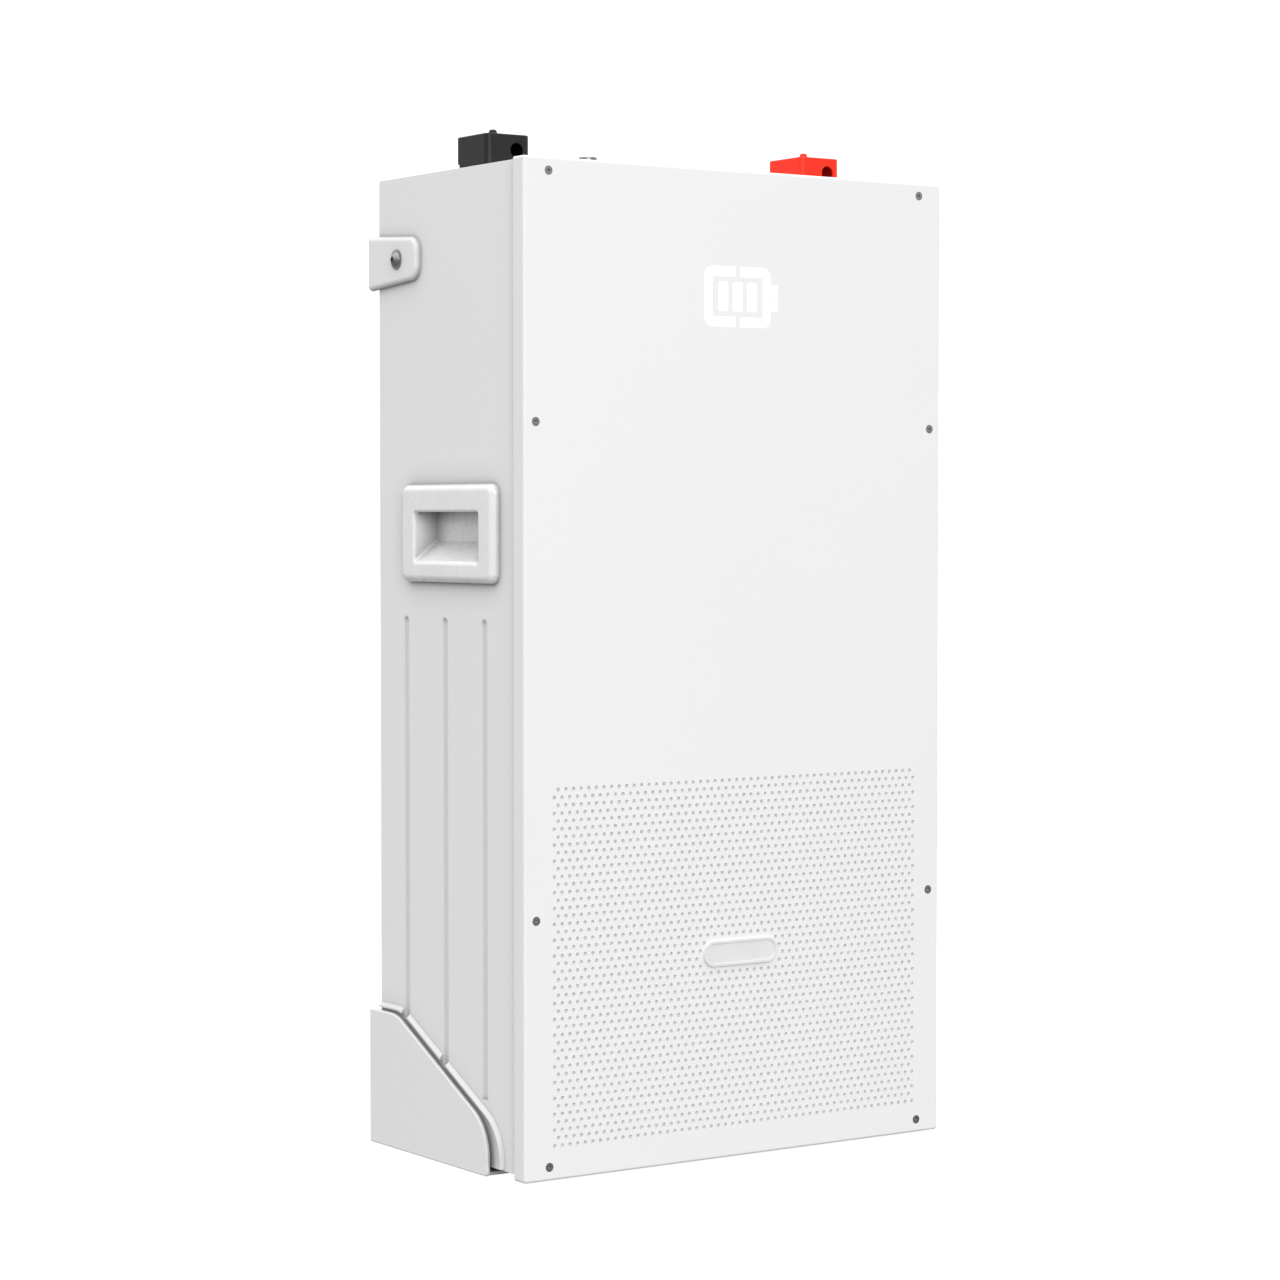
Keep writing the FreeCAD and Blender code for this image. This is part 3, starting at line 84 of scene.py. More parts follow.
# ---- finishes ----------------------------------------------------------------------------
PAINT_WHITE = (0.860, 0.860, 0.860)
# paler colour that the paint takes along every edge
PAINT_EDGE_PALE = (0.91, 0.91, 0.91)
# Painted shade where other surfaces stand close: darkest factor on the paint and the occlusion value where it
# starts, its reach on case and handle in millimetres, and darkest factor on the handle.
PAINT_SHADE_DARKEST, PAINT_SHADE_START = 0.50, 0.70
CASE_SHADE_REACH, HANDLE_SHADE_REACH = 26.0, 24.0
HANDLE_SHADE_DARKEST = 0.12
EDGE_DOT, FLAT_DOT = 0.80, 0.995        # match between a face's normal and the rounded one
MIX_COLOURS, MIX_COLOUR_OUT = (6, 7), 2         # sockets of a Mix node set to colours
MIX_VALUES, MIX_VALUE_OUT = (2, 3), 0           # and of one set to plain values

# ---- studio, in metres and watts ---------------------------------------------------------
ROOM_HORIZON, ROOM_ZENITH, ROOM_BELOW, ROOM_SEEN = 0.60, 1.80, 0.30, 1.2
HORIZON_BAND = (-0.12, -0.02)
KEY_PLACE, KEY_TARGET, KEY_SIZE, KEY_POWER = (-2.6, -6.4, 2.6), (0, 0, 0.4), 4.0, 205.0
FLOOR_HALF, FLOOR_DROP, FLOOR_GLOW = 30.0, 0.0005, 0.92
LENS_MM = 93.38
CAMERA_PLACE = (-1.7646, -2.5504, 0.5816)
CAMERA_TURN = (math.radians(90 - 2.1136), 0, math.radians(-34.371))
CAMERA_REACH = 100.0


# ---- shader helpers ----------------------------------------------------------------------
class Shader:
    """One material and short calls that add nodes to it."""

    def __init__(self, name, colour, roughness, metallic=0.0, **inputs):
        self.material = bpy.data.materials.new(name)
        self.material.use_nodes = True
        self.material.diffuse_color = (*colour, 1)
        self.tree = self.material.node_tree
        self.surface = self.tree.nodes["Principled BSDF"]
        self.surface.inputs["Base Color"].default_value = (*colour, 1)
        self.surface.inputs["Roughness"].default_value = roughness
        self.surface.inputs["Metallic"].default_value = metallic
        for key, value in inputs.items():
            self.surface.inputs[key.replace("_", " ")].default_value = value
        self.place = self.node("ShaderNodeTexCoord").outputs["Object"]
        self.height = None

    def node(self, kind, **settings):
        made = self.tree.nodes.new(kind)
        for key, value in settings.items():
            setattr(made, key, value)
        return made

    def link(self, output, socket):
        self.tree.links.new(output, socket)

    def noise(self, scale, detail=2.0, stretch=(1, 1, 1)):
        mapping = self.node("ShaderNodeMapping")
        mapping.inputs["Scale"].default_value = stretch
        self.link(self.place, mapping.inputs["Vector"])
        noise = self.node("ShaderNodeTexNoise")
        noise.inputs["Scale"].default_value = scale
        noise.inputs["Detail"].default_value = detail
        self.link(mapping.outputs["Vector"], noise.inputs["Vector"])
        return noise.outputs["Fac"]

    def ranged(self, value, low, high, from_low=0.3, from_high=0.7):
        span = self.node("ShaderNodeMapRange")
        span.inputs["From Min"].default_value = from_low
        span.inputs["From Max"].default_value = from_high
        span.inputs["To Min"].default_value = low
        span.inputs["To Max"].default_value = high
        self.link(value, span.inputs["Value"])
        return span.outputs["Result"]

    def mixed(self, share, first, second):
        """A colour between first and second; each is a colour or an output."""
        mix = self.node("ShaderNodeMix", data_type="RGBA")
        self.link(share, mix.inputs["Factor"])
        for number, colour in zip(MIX_COLOURS, (first, second)):
            socket = mix.inputs[number]
            if isinstance(colour, tuple):
                socket.default_value = (*colour, 1)
            else:
                self.link(colour, socket)
        return mix.outputs[MIX_COLOUR_OUT]

    def colour(self, output):
        self.link(output, self.surface.inputs["Base Color"])

    def vary(self, dark, light, scale, detail=3.0):
        """Base colour that drifts between two shades."""
        shade = self.mixed(self.ranged(self.noise(scale=scale, detail=detail), 0, 1), dark, light)
        self.colour(shade)
        return shade

    def rough(self, low, high, scale, stretch=(1, 1, 1)):
        grain = self.noise(scale=scale, detail=4.0, stretch=stretch)
        self.link(self.ranged(grain, low, high), self.surface.inputs["Roughness"])

    def bump(self, value, distance, strength=1.0):
        bump = self.node("ShaderNodeBump")
        bump.inputs["Strength"].default_value = strength
        bump.inputs["Distance"].default_value = distance
        self.link(value, bump.inputs["Height"])
        if self.height is not None:
            self.link(self.height, bump.inputs["Normal"])
        self.height = bump.outputs["Normal"]
        self.link(self.height, self.surface.inputs["Normal"])

    def painted_shade(self, colour, distance, darkest, closed_at=0.0):
        """The colour with painted shade: darkened where other surfaces stand close by."""
        closed = self.node("ShaderNodeAmbientOcclusion", samples=8)
        closed.inputs["Distance"].default_value = distance
        share = self.ranged(closed.outputs["AO"], 0, 1, from_low=closed_at, from_high=1.0)
        shadow = self.node("ShaderNodeMix", data_type="RGBA", blend_type="MULTIPLY")
        shadow.inputs["Factor"].default_value = 1.0
        base, shade = (shadow.inputs[number] for number in MIX_COLOURS)
        self.link(colour, base)
        self.link(self.mixed(share, (darkest, darkest, darkest), (1.0, 1.0, 1.0)), shade)
        return shadow.outputs[MIX_COLOUR_OUT]

    def round_edges(self, radius):
        """Shades sharp edges as if they were rounded."""
        soft = self.node("ShaderNodeBevel", samples=6)
        soft.inputs["Radius"].default_value = radius
        self.height = soft.outputs["Normal"]
        self.link(self.height, self.surface.inputs["Normal"])

    def edges(self, radius):
        """From 0 on flat faces to 1 along edges, by comparing the normal with a rounded one."""
        round_normal = self.node("ShaderNodeBevel", samples=4)
        round_normal.inputs["Radius"].default_value = radius
        flat = self.node("ShaderNodeNewGeometry")
        dot = self.node("ShaderNodeVectorMath", operation="DOT_PRODUCT")
        self.link(round_normal.outputs["Normal"], dot.inputs[0])
        self.link(flat.outputs["Normal"], dot.inputs[1])
        return self.ranged(dot.outputs["Value"], 1, 0, from_low=EDGE_DOT, from_high=FLAT_DOT)


def tint(colour, factor):
    return tuple(min(1.0, c * factor) for c in colour)


# ---- materials ---------------------------------------------------------------------------
def powder_coat(name, shade_reach=0.0):
    """White powder coat, a little paler along its edges, with painted shade where other surfaces stand close
    when a reach is given.
    """
    paint = Shader(name, PAINT_WHITE, 0.48, Specular_IOR_Level=0.35)
    drift = paint.mixed(paint.ranged(paint.noise(scale=5.0), 0, 1), tint(PAINT_WHITE, 0.985), PAINT_WHITE)
    fleck = paint.mixed(paint.ranged(paint.noise(scale=1400.0), 0, 1), tint(PAINT_WHITE, 0.975), drift)
    shade = paint.mixed(paint.edges(radius=0.8 * MM), fleck, PAINT_EDGE_PALE)
    # painted shade: the colour darkens where other surfaces stand close
    if shade_reach:
        shade = paint.painted_shade(shade, distance=shade_reach, darkest=PAINT_SHADE_DARKEST, closed_at=PAINT_SHADE_START)
    paint.colour(shade)
    paint.rough(low=0.42, high=0.56, scale=260.0)
    paint.bump(paint.noise(scale=620.0, detail=2.0), distance=0.05 * MM, strength=0.5)
    paint.bump(paint.noise(scale=160.0, detail=1.0), distance=0.06 * MM, strength=0.35)
    return paint.material


def moulded(name, colour, low, high, grain=900.0, depth=0.03, coat=0.0, shade_reach=0.0):
    """Injection-moulded plastic with a fine spark-eroded grain, and painted shade where other surfaces stand
    close when a reach is given.
    """
    plastic = Shader(name, colour, high, Coat_Weight=coat, Coat_Roughness=0.12)
    shade = plastic.vary(tint(colour, 0.97), tint(colour, 1.02), scale=40.0)
    # painted shade: the colour darkens where other surfaces stand close
    if shade_reach:
        plastic.colour(plastic.painted_shade(shade, distance=shade_reach, darkest=HANDLE_SHADE_DARKEST))
    plastic.rough(low=low, high=high, scale=180.0)
    plastic.bump(plastic.noise(scale=grain, detail=3.0), distance=depth * MM, strength=0.6)
    return plastic.material


def terminal_plastic(name, colour, edge_colour):
    plastic = Shader(name, colour, 0.4, Specular_IOR_Level=0.3)
    drift = plastic.ranged(plastic.noise(scale=60.0), 0, 1)
    body = plastic.mixed(drift, tint(colour, 0.95), tint(colour, 1.04))
    plastic.colour(plastic.mixed(plastic.edges(radius=1.0 * MM), body, edge_colour))
    plastic.rough(low=0.34, high=0.48, scale=240.0)
    plastic.round_edges(radius=1.2 * MM)
    plastic.bump(plastic.noise(scale=1300.0, detail=2.0), distance=0.03 * MM, strength=0.6)
    return plastic.material


def metal(name, colour, low, high, stretch=(1, 1, 1), scale=400.0, depth=0.01):
    """Bare or plated metal, brushed along the axis with the smallest stretch."""
    bare = Shader(name, colour, high, metallic=1.0)
    bare.vary(tint(colour, 0.88), tint(colour, 1.06), scale=90.0)
    bare.rough(low=low, high=high, scale=scale, stretch=stretch)
    bare.bump(bare.noise(scale=scale * 2, detail=3.0, stretch=stretch), distance=depth * MM, strength=0.5)
    return bare.material


def frosted_acrylic():
    white = (0.93, 0.93, 0.93)
    light = Shader("frosted_acrylic", white, 0.5, Subsurface_Weight=0.15, Subsurface_Scale=0.002,
                   Emission_Color=(1, 1, 1, 1), Emission_Strength=0.16)
    light.vary(tint(white, 0.985), white, scale=120.0)
    light.rough(low=0.42, high=0.55, scale=500.0)
    light.bump(light.noise(scale=1800.0, detail=2.0), distance=0.02 * MM, strength=0.5)
    return light.material


def filter_cloth():
    """Non-woven filter sheet: short fibres crossing at two angles."""
    pale = (0.62, 0.62, 0.62)
    # The cloth glows a little: painted light that keeps it pale behind the holes, where it sits in shade.
    cloth = Shader("filter_cloth", pale, 0.9, Sheen_Weight=0.2,
                   Emission_Color=(1, 1, 1, 1), Emission_Strength=0.03)
    along = cloth.noise(scale=900.0, detail=4.0, stretch=(1, 1, 0.15))
    across = cloth.noise(scale=900.0, detail=4.0, stretch=(0.15, 1, 1))
    both = cloth.node("ShaderNodeMath", operation="MAXIMUM")
    cloth.link(along, both.inputs[0])
    cloth.link(across, both.inputs[1])
    fibre = cloth.ranged(both.outputs["Value"], 0, 1, from_low=0.4, from_high=0.75)
    cloth.colour(cloth.mixed(fibre, tint(pale, 0.85), pale))
    cloth.bump(both.outputs["Value"], distance=0.15 * MM, strength=0.8)
    return cloth.material


def circuit_board():
    """Solder mask over faint copper tracks."""
    green = (0.020, 0.135, 0.055)
    board = Shader("circuit_board", green, 0.3, Coat_Weight=0.4, Coat_Roughness=0.15)
    cells = board.node("ShaderNodeTexVoronoi", feature="DISTANCE_TO_EDGE", distance="MANHATTAN")
    cells.inputs["Scale"].default_value = 160.0
    board.link(board.place, cells.inputs["Vector"])
    track = board.ranged(cells.outputs["Distance"], 1, 0, from_low=0.02, from_high=0.09)
    board.colour(board.mixed(track, green, (0.045, 0.230, 0.090)))
    board.rough(low=0.25, high=0.4, scale=300.0)
    board.bump(track, distance=0.035 * MM, strength=0.6)
    return board.material


def shrink_film():
    """Blue film round a cell, with soft wrinkles all over."""
    blue = (0.012, 0.060, 0.240)
    film = Shader("shrink_film", blue, 0.3, Coat_Weight=0.5, Coat_Roughness=0.1)
    film.vary(tint(blue, 0.9), tint(blue, 1.1), scale=14.0)
    film.rough(low=0.22, high=0.4, scale=90.0)
    film.bump(film.noise(scale=70.0, detail=2.0, stretch=(1, 0.2, 1)), distance=0.25 * MM, strength=0.5)
    return film.material


def glazed_ceramic():
    cream = (0.66, 0.62, 0.52)
    ceramic = Shader("glazed_ceramic", cream, 0.2, Coat_Weight=0.8, Coat_Roughness=0.06)
    ceramic.vary(tint(cream, 0.93), cream, scale=35.0)
    ceramic.bump(ceramic.noise(scale=220.0, detail=2.0), distance=0.04 * MM, strength=0.4)
    return ceramic.material


def laminate():
    """Cream insulating sheet with a woven ground."""
    cream = (0.64, 0.60, 0.42)
    sheet = Shader("laminate", cream, 0.6)
    weave = sheet.node("ShaderNodeTexWave", wave_type="BANDS", bands_direction="DIAGONAL")
    weave.inputs["Scale"].default_value = 500.0
    weave.inputs["Distortion"].default_value = 1.5
    sheet.link(sheet.place, weave.inputs["Vector"])
    sheet.colour(sheet.mixed(weave.outputs["Fac"], tint(cream, 0.9), cream))
    sheet.rough(low=0.5, high=0.7, scale=200.0)
    sheet.bump(weave.outputs["Fac"], distance=0.05 * MM, strength=0.4)
    return sheet.material


def finishes():
    """One material for each slot of the record."""
    return {
        "case_paint": powder_coat("powder_coat", shade_reach=CASE_SHADE_REACH * MM),
        "handle_plastic": moulded("handle_plastic", PAINT_WHITE, low=0.25, high=0.34, grain=900.0,
                                  depth=0.006, coat=0.7, shade_reach=HANDLE_SHADE_REACH * MM),
        "badge_plastic": moulded("badge_plastic", (0.78, 0.78, 0.78), low=0.35, high=0.46),
        "filter_mesh": filter_cloth(),
        "seal_rubber": moulded("seal_rubber", (0.018, 0.018, 0.018), low=0.7, high=0.9, grain=500.0,
                               depth=0.08),
        "screw_steel": metal("screw_steel", (0.34, 0.34, 0.35), low=0.25, high=0.40),
        "zinc_steel": metal("zinc_steel", (0.66, 0.67, 0.69), low=0.25, high=0.4, scale=150.0),
        "light_acrylic": frosted_acrylic(),
        "board_green": circuit_board(),
        "black_terminal": terminal_plastic("black_terminal", colour=(0.011, 0.011, 0.012),
                                           edge_colour=(0.005, 0.005, 0.005)),
        "red_terminal": terminal_plastic("red_terminal", colour=(0.95, 0.022, 0.004),
                                         edge_colour=(0.80, 0.014, 0.004)),
        "brass": metal("brass", (0.72, 0.48, 0.20), low=0.18, high=0.35, stretch=(1, 1, 0.1)),
        "button_steel": metal("button_steel", (0.28, 0.28, 0.29), low=0.25, high=0.40),
        "port_black": moulded("port_black", (0.016, 0.016, 0.016), low=0.4, high=0.55),
        "lever_white": moulded("lever_white", (0.74, 0.74, 0.71), low=0.35, high=0.5),
        "cell_wrap": shrink_film(),
        "aluminium": metal("aluminium", (0.68, 0.69, 0.71), low=0.3, high=0.46, stretch=(0.08, 1, 1)),
        "insulator_sheet": laminate(),
        "copper": metal("copper", (0.70, 0.33, 0.18), low=0.2, high=0.4, stretch=(1, 1, 0.1)),
        "capacitor_can": moulded("capacitor_can", (0.04, 0.05, 0.08), low=0.3, high=0.45, grain=500.0,
                                 depth=0.02, coat=0.3),
        "fuse_ceramic": glazed_ceramic(),
    }


def dress_frame(materials):
    """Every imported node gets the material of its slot."""
    for part in frame["record"]["subparts"]:
        mesh = frame["nodes"][part["node"]].data
        mesh.materials.clear()
        mesh.materials.append(materials[part["material_slot"]])


# ---- finer front cover -------------------------------------------------------------------
def circle(x, z, radius, sides):
    turns = [2 * math.pi * i / sides for i in range(sides)]
    return [(x + radius * math.cos(t), z + radius * math.sin(t)) for t in turns]


def rounded_outline(x0, x1, z0, z1, radii, steps=8):
    """Rectangle with four corner radii, anticlockwise from the lower left corner."""
    signs = [(-1, -1), (1, -1), (1, 1), (-1, 1)]
    outline = []
    for i, ((sx, sz), radius) in enumerate(zip(signs, radii)):
        corner = (x1 if sx > 0 else x0, z1 if sz > 0 else z0)
        centre = (corner[0] - sx * radius, corner[1] - sz * radius)
        count = steps + 1 if radius else 1
        turns = [math.pi + math.pi / 2 * (i + step / steps) for step in range(count)]
        outline += [(centre[0] + radius * math.cos(t), centre[1] + radius * math.sin(t)) for t in turns]
    return outline


def half_frame(side):
    """One half of the light symbol's outline: a rounded C, open towards the middle."""
    inner_x = LIGHT_X + side * LIGHT_GAP / 2
    outer = rounded_outline(*sorted((inner_x, LIGHT_X + side * LIGHT_W / 2)),
                            LIGHT_Z - LIGHT_H / 2, LIGHT_Z + LIGHT_H / 2,
                            [0, LIGHT_OUTER_R, LIGHT_OUTER_R, 0] if side > 0
                            else [LIGHT_OUTER_R, 0, 0, LIGHT_OUTER_R])
    half_w, half_h = LIGHT_W / 2 - LIGHT_STROKE, LIGHT_H / 2 - LIGHT_STROKE
    inner = rounded_outline(*sorted((inner_x, LIGHT_X + side * half_w)), LIGHT_Z - half_h, LIGHT_Z + half_h,
                            [0, LIGHT_INNER_R, LIGHT_INNER_R, 0] if side > 0
                            else [LIGHT_INNER_R, 0, 0, LIGHT_INNER_R])
    if side > 0:
        return outer + inner[::-1]
    turn_outer = next(i for i, (x, z) in enumerate(outer) if x == inner_x and z > LIGHT_Z)
    turn_inner = next(i for i, (x, z) in enumerate(inner) if x == inner_x and z > LIGHT_Z)
    outer = outer[turn_outer:] + outer[:turn_outer]
    inner = inner[turn_inner:] + inner[:turn_inner]
    return outer + inner[::-1]


def light_openings():
    nub_x = LIGHT_X + LIGHT_W / 2 + LIGHT_NUB_OUT
    openings = [half_frame(-1), half_frame(1)]
    openings.append(rounded_outline(nub_x, nub_x + LIGHT_NUB_W, LIGHT_Z - LIGHT_NUB_H / 2,
                                    LIGHT_Z + LIGHT_NUB_H / 2, [0] * 4))
    for i in (-1, 0, 1):
        middle = LIGHT_X + i * (LIGHT_BAR_W + LIGHT_GAP)
        openings.append(rounded_outline(middle - LIGHT_BAR_W / 2, middle + LIGHT_BAR_W / 2,
                                        LIGHT_Z - LIGHT_BAR_H / 2, LIGHT_Z + LIGHT_BAR_H / 2,
                                        [LIGHT_BAR_R] * 4))
    return openings


def behind_badge(x, z):
    reach = BADGE_W / 2 - BADGE_H / 2
    gap = math.hypot(max(abs(x) - reach, 0), z - BADGE_Z)
    return gap < BADGE_H / 2 + HOLE_RADIUS + BADGE_MARGIN


def air_holes():
    holes = []
    for row in range(HOLE_ROWS):
        count = HOLE_COLUMNS - row % 2
        for column in range(count):
            x, z = (column - (count - 1) / 2) * HOLE_PITCH, FIELD_LOW + row * HOLE_ROW
            if not behind_badge(x, z):
                holes.append(circle(x, z, HOLE_RADIUS, HOLE_SIDES))
    return holes


def inside(x, z, loop):
    crossings = 0
    for (x0, z0), (x1, z1) in zip(loop, loop[1:] + loop[:1]):
        if (z0 > z) != (z1 > z) and x < x0 + (z - z0) * (x1 - x0) / (z1 - z0):
            crossings += 1
    return crossings % 2 == 1


def perforated_face(rim, openings):
    """Triangles that fill the rim and leave the openings out, with their points."""
    points = [Vector(point) for loop in [rim] + openings for point in loop]
    owner = [number for number, loop in enumerate([rim] + openings) for _ in loop]
    edges = []
    start = 0
    for loop in [rim] + openings:
        edges += [(start + i, start + (i + 1) % len(loop)) for i in range(len(loop))]
        start += len(loop)
    filled = delaunay_2d_cdt(points, edges, [], 1, 1e-7)
    source = [original[0] for original in filled[3]]
    triangles = []
    for triangle in filled[2]:
        corners = [source[i] for i in triangle]
        loops = {owner[corner] for corner in corners}
        if len(loops) == 1 and loops != {0}:
            x = sum(points[corner].x for corner in corners) / 3
            z = sum(points[corner].y for corner in corners) / 3
            if inside(x, z, openings[loops.pop() - 1]):
                continue
        triangles.append(corners)
    return points, edges[len(rim):], triangles


def edge_profile():
    """The cover's edge, from the flat face round to the flange and back: (inset, depth)."""
    turns = [math.pi / 2 * i / EDGE_STEPS for i in range(EDGE_STEPS + 1)]
    arc = [(COVER_EDGE * (1 - math.sin(t)), COVER_EDGE * (1 - math.cos(t))) for t in turns]
    return arc + [(0, COVER_DEPTH), (SHEET, COVER_DEPTH), (SHEET, COVER_EDGE), (COVER_EDGE, SHEET)]


def edge_loop(inset, depth):
    """A closed loop of points round the cover at one point of the edge's profile."""
    radius = COVER_EDGE - inset
    outline = []
    for i, (sx, sz) in enumerate([(-1, -1), (1, -1), (1, 1), (-1, 1)]):
        x = sx * (COVER_HALF - COVER_EDGE)
        z = COVER_LOW + COVER_EDGE if sz < 0 else COVER_HIGH - COVER_EDGE
        for step in range(EDGE_STEPS + 1):
            turn = math.pi + math.pi / 2 * (i + step / EDGE_STEPS)
            outline.append((x + radius * math.cos(turn), COVER_FRONT + depth, z + radius * math.sin(turn)))
    return outline


def behind_face(points, first_sink):
    """The sheet's rear points: the front ones moved back, with the screw sinks narrower."""
    places = []
    for index, point in enumerate(points):
        x, z = point.x, point.y
        number = (index - first_sink) // SINK_SIDES
        if 0 <= number < len(SINKS):
            centre = SINKS[number]
            share = 1 - SINK_TAPER / SINK_RADIUS
            x, z = centre[0] + (x - centre[0]) * share, centre[1] + (z - centre[1]) * share
        places.append((x, COVER_FRONT + SHEET, z))
    return places


def cover_mesh():
    """The tray: a perforated front face with thickness, and its rounded, folded edge."""
    half = COVER_HALF - COVER_EDGE
    low, high = COVER_LOW + COVER_EDGE, COVER_HIGH - COVER_EDGE
    rim = [(-half, low), (half, low), (half, high), (-half, high)]
    sinks = [circle(x, z, SINK_RADIUS, SINK_SIDES) for x, z in SINKS]
    openings = sinks + light_openings() + air_holes()
    points, opening_edges, triangles = perforated_face(rim, openings)

    front = [(point.x, COVER_FRONT, point.y) for point in points]
    back = behind_face(points, len(rim))
    count = len(points)
    faces = [tuple(triangle) for triangle in triangles]
    faces += [tuple(count + i for i in reversed(triangle)) for triangle in triangles]
    faces += [(b, a, count + a, count + b) for a, b in opening_edges]

    loops = [edge_loop(*step) for step in edge_profile()]
    faces += bridged(loops, 2 * count)
    places = front + back + [point for loop in loops for point in loop]
    return finished_mesh("cover_sheet", places, faces)


def bridged(loops, first):
    """Quads between neighbouring loops; first is the number of the first loop's first point."""
    size = len(loops[0])
    quads = []
    for number in range(len(loops) - 1):
        start = first + number * size
        for i in range(size):
            j = (i + 1) % size
            quads.append((start + j, start + i, start + size + i, start + size + j))
    return quads


def finished_mesh(name, places, faces):
    """A closed mesh from points in millimetres, smooth except at sharp edges."""
    mesh = bpy.data.meshes.new(name)
    mesh.from_pydata([tuple(value * MM for value in place) for place in places], [], faces)
    work = bmesh.new()
    work.from_mesh(mesh)
    bmesh.ops.remove_doubles(work, verts=work.verts, dist=MERGE_GAP * MM)
    bmesh.ops.dissolve_degenerate(work, dist=FLAT_GAP * MM, edges=work.edges)
    bmesh.ops.recalc_face_normals(work, faces=work.faces)
    work.to_mesh(mesh)
    work.free()
    mesh.shade_smooth()
    mesh.set_sharp_from_angle(angle=SHARP_ANGLE)
    return mesh


def stand_in(mesh, material, node):
    """A finer piece that stands for a CAD node of the fixed case."""
    piece = bpy.data.objects.new(mesh.name, mesh)
    bpy.context.scene.collection.objects.link(piece)
    mesh.materials.append(material)
    piece.modifiers.new("flat_faces_first", "WEIGHTED_NORMAL").keep_sharp = True
    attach(piece, "root")
    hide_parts(node)


# ---- finer handles -----------------------------------------------------------------------
def handle_loop(height, half, low, high, corner):
    """A rounded rectangle at a height above the side panel, as (height, y, z)."""
    outline = rounded_outline(HANDLE_Y - half, HANDLE_Y + half, low, high, [corner] * 4)
    return [(height, y, z) for y, z in outline]


def bezel_loop(height, inset):
    return handle_loop(height, HANDLE_HALF_W - inset, HANDLE_Z - HANDLE_HALF_H + inset,
                       HANDLE_Z + HANDLE_HALF_H - inset, HANDLE_CORNER - inset)


def pocket_loop(depth, grow=0.0):
    """The pocket's inner wall at a depth behind the bezel's face, grown outwards by grow."""
    floor = GRIP_LOW + GRIP_FLOOR_RISE * depth / GRIP_DEPTH
    start, end = LIP_DEPTHS
    roof = GRIP_HIGH + GRIP_ROOF_RISE * min(max((depth - start) / (end - start), 0), 1)
    return handle_loop(HANDLE_PROUD - depth, GRIP_HALF_W + grow, floor - grow, roof + grow,
                       GRIP_CORNER + grow)


def pocket_shell(height, floor_rise):
    """The pocket's outer wall, inside the case, at a height above the side panel."""
    return handle_loop(height, GRIP_HALF_W + GRIP_WALL, GRIP_LOW + floor_rise - GRIP_WALL,
                       GRIP_HIGH + GRIP_ROOF_RISE + GRIP_WALL, GRIP_CORNER + GRIP_WALL)


def handle_mesh(name, side):
    """The bezel with its rounded rim, a rounded mouth and the pocket, one closed shell."""
    rim_turns = [math.pi / 2 * i / RIM_STEPS for i in range(RIM_STEPS + 1)]
    mouth_turns = [math.pi / 2 * i / MOUTH_STEPS for i in range(MOUTH_STEPS + 1)]
    loops = [pocket_shell(HANDLE_PROUD - GRIP_DEPTH - GRIP_WALL, GRIP_FLOOR_RISE), pocket_shell(0, 0)]
    loops.append(bezel_loop(0, 0))
    for turn in rim_turns:
        height = HANDLE_PROUD - HANDLE_ROUND * (1 - math.sin(turn))
        loops.append(bezel_loop(height, HANDLE_ROUND * (1 - math.cos(turn))))
    for turn in mouth_turns:
        loops.append(pocket_loop(LIP_ROUND * (1 - math.cos(turn)), LIP_ROUND * (1 - math.sin(turn))))
    for depth in LIP_DEPTHS + (GRIP_DEPTH,):
        loops.append(pocket_loop(depth))
    places = [(side * (CASE_SIDE + height), y, z) for loop in loops for height, y, z in loop]
    size = len(loops[0])
    faces = bridged(loops, 0)
    faces.append(tuple(range(size)))
    faces.append(tuple(reversed(range(len(places) - size, len(places)))))
    return finished_mesh(name, places, faces)


# ---- studio ------------------------------------------------------------------------------
def climb(tree, height, span, values):
    """A value that goes from the first to the second as the height crosses the span."""
    steps = tree.nodes.new("ShaderNodeMapRange")
    for key, value in zip(("From Min", "From Max", "To Min", "To Max"), span + values):
        steps.inputs[key].default_value = value
    tree.links.new(height, steps.inputs["Value"])
    return steps.outputs["Result"]


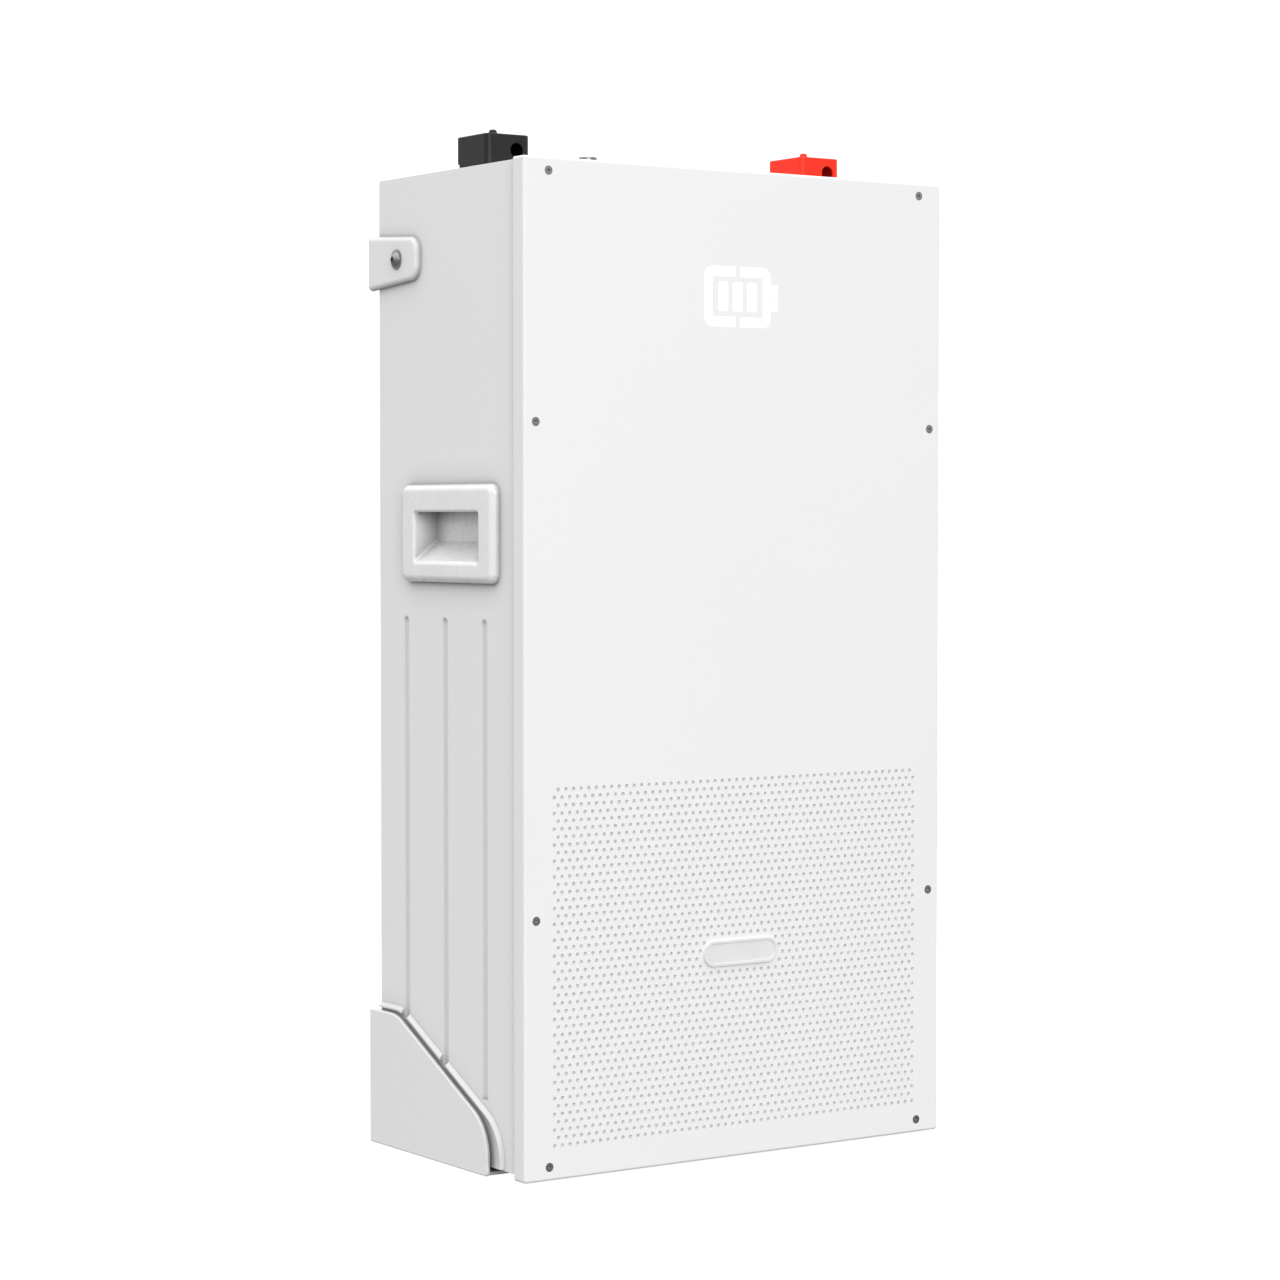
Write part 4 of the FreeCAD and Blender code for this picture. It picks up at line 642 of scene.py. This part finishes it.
def world_light():
    """A white room: brightest overhead, dim in the lower half, plain white to the eye."""
    world = bpy.data.worlds.new("room")
    bpy.context.scene.world = world
    world.use_nodes = True
    tree = world.node_tree
    background = tree.nodes["Background"]
    background.inputs["Color"].default_value = (1, 1, 1, 1)
    coordinates = tree.nodes.new("ShaderNodeTexCoord")
    split = tree.nodes.new("ShaderNodeSeparateXYZ")
    tree.links.new(coordinates.outputs["Generated"], split.inputs["Vector"])

    height = split.outputs["Z"]
    total = tree.nodes.new("ShaderNodeMath")
    tree.links.new(climb(tree, height, span=HORIZON_BAND, values=(ROOM_BELOW, ROOM_HORIZON)), total.inputs[0])
    rise = climb(tree, height, span=(0.0, 1.0), values=(0.0, ROOM_ZENITH - ROOM_HORIZON))
    tree.links.new(rise, total.inputs[1])
    path = tree.nodes.new("ShaderNodeLightPath")
    choice = tree.nodes.new("ShaderNodeMix")
    lighting, seen = (choice.inputs[number] for number in MIX_VALUES)
    seen.default_value = ROOM_SEEN
    tree.links.new(path.outputs["Is Camera Ray"], choice.inputs["Factor"])
    tree.links.new(total.outputs["Value"], lighting)
    tree.links.new(choice.outputs[MIX_VALUE_OUT], background.inputs["Strength"])


def area_light(name, place, target, size, power):
    data = bpy.data.lights.new(name, "AREA")
    data.size = size
    data.energy = power
    lamp = bpy.data.objects.new(name, data)
    lamp.location = place
    lamp.rotation_euler = (Vector(target) - Vector(place)).to_track_quat("-Z", "Y").to_euler()
    bpy.context.scene.collection.objects.link(lamp)


def floor():
    """A pale floor that glows, so that it stays white, and throws no light back."""
    data = bpy.data.meshes.new("floor")
    corners = [(x * FLOOR_HALF, y * FLOOR_HALF, 0) for x, y in ((-1, -1), (1, -1), (1, 1), (-1, 1))]
    data.from_pydata(corners, [], [(0, 1, 2, 3)])
    ground = bpy.data.objects.new("floor", data)
    pale = Shader("pale_floor", (0.30, 0.30, 0.30), 0.9, Specular_IOR_Level=0.0,
                  Emission_Color=(1, 1, 1, 1), Emission_Strength=FLOOR_GLOW)
    pale.vary((0.29, 0.29, 0.29), (0.31, 0.31, 0.31), scale=2.0)
    data.materials.append(pale.material)
    ground.location.z = -FLOOR_DROP
    ground.visible_diffuse = False
    ground.visible_glossy = False
    ground.visible_shadow = False
    bpy.context.scene.collection.objects.link(ground)


def camera():
    data = bpy.data.cameras.new("camera")
    data.lens = LENS_MM
    data.clip_end = CAMERA_REACH
    view = bpy.data.objects.new("camera", data)
    view.location = CAMERA_PLACE
    view.rotation_euler = CAMERA_TURN
    bpy.context.scene.collection.objects.link(view)
    bpy.context.scene.camera = view


def studio():
    camera()
    floor()
    world_light()
    area_light("key", place=KEY_PLACE, target=KEY_TARGET, size=KEY_SIZE, power=KEY_POWER)
    bpy.context.scene.view_settings.view_transform = "Standard"


# ---- the scene ---------------------------------------------------------------------------
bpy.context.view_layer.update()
materials = finishes()
dress_frame(materials)
stand_in(cover_mesh(), powder_coat("cover_paint"), "front_cover")
for side_name, side_sign in (("left", -1), ("right", 1)):
    stand_in(handle_mesh("handle_bezel_" + side_name, side_sign), materials["handle_plastic"],
             "handle_" + side_name)
studio()
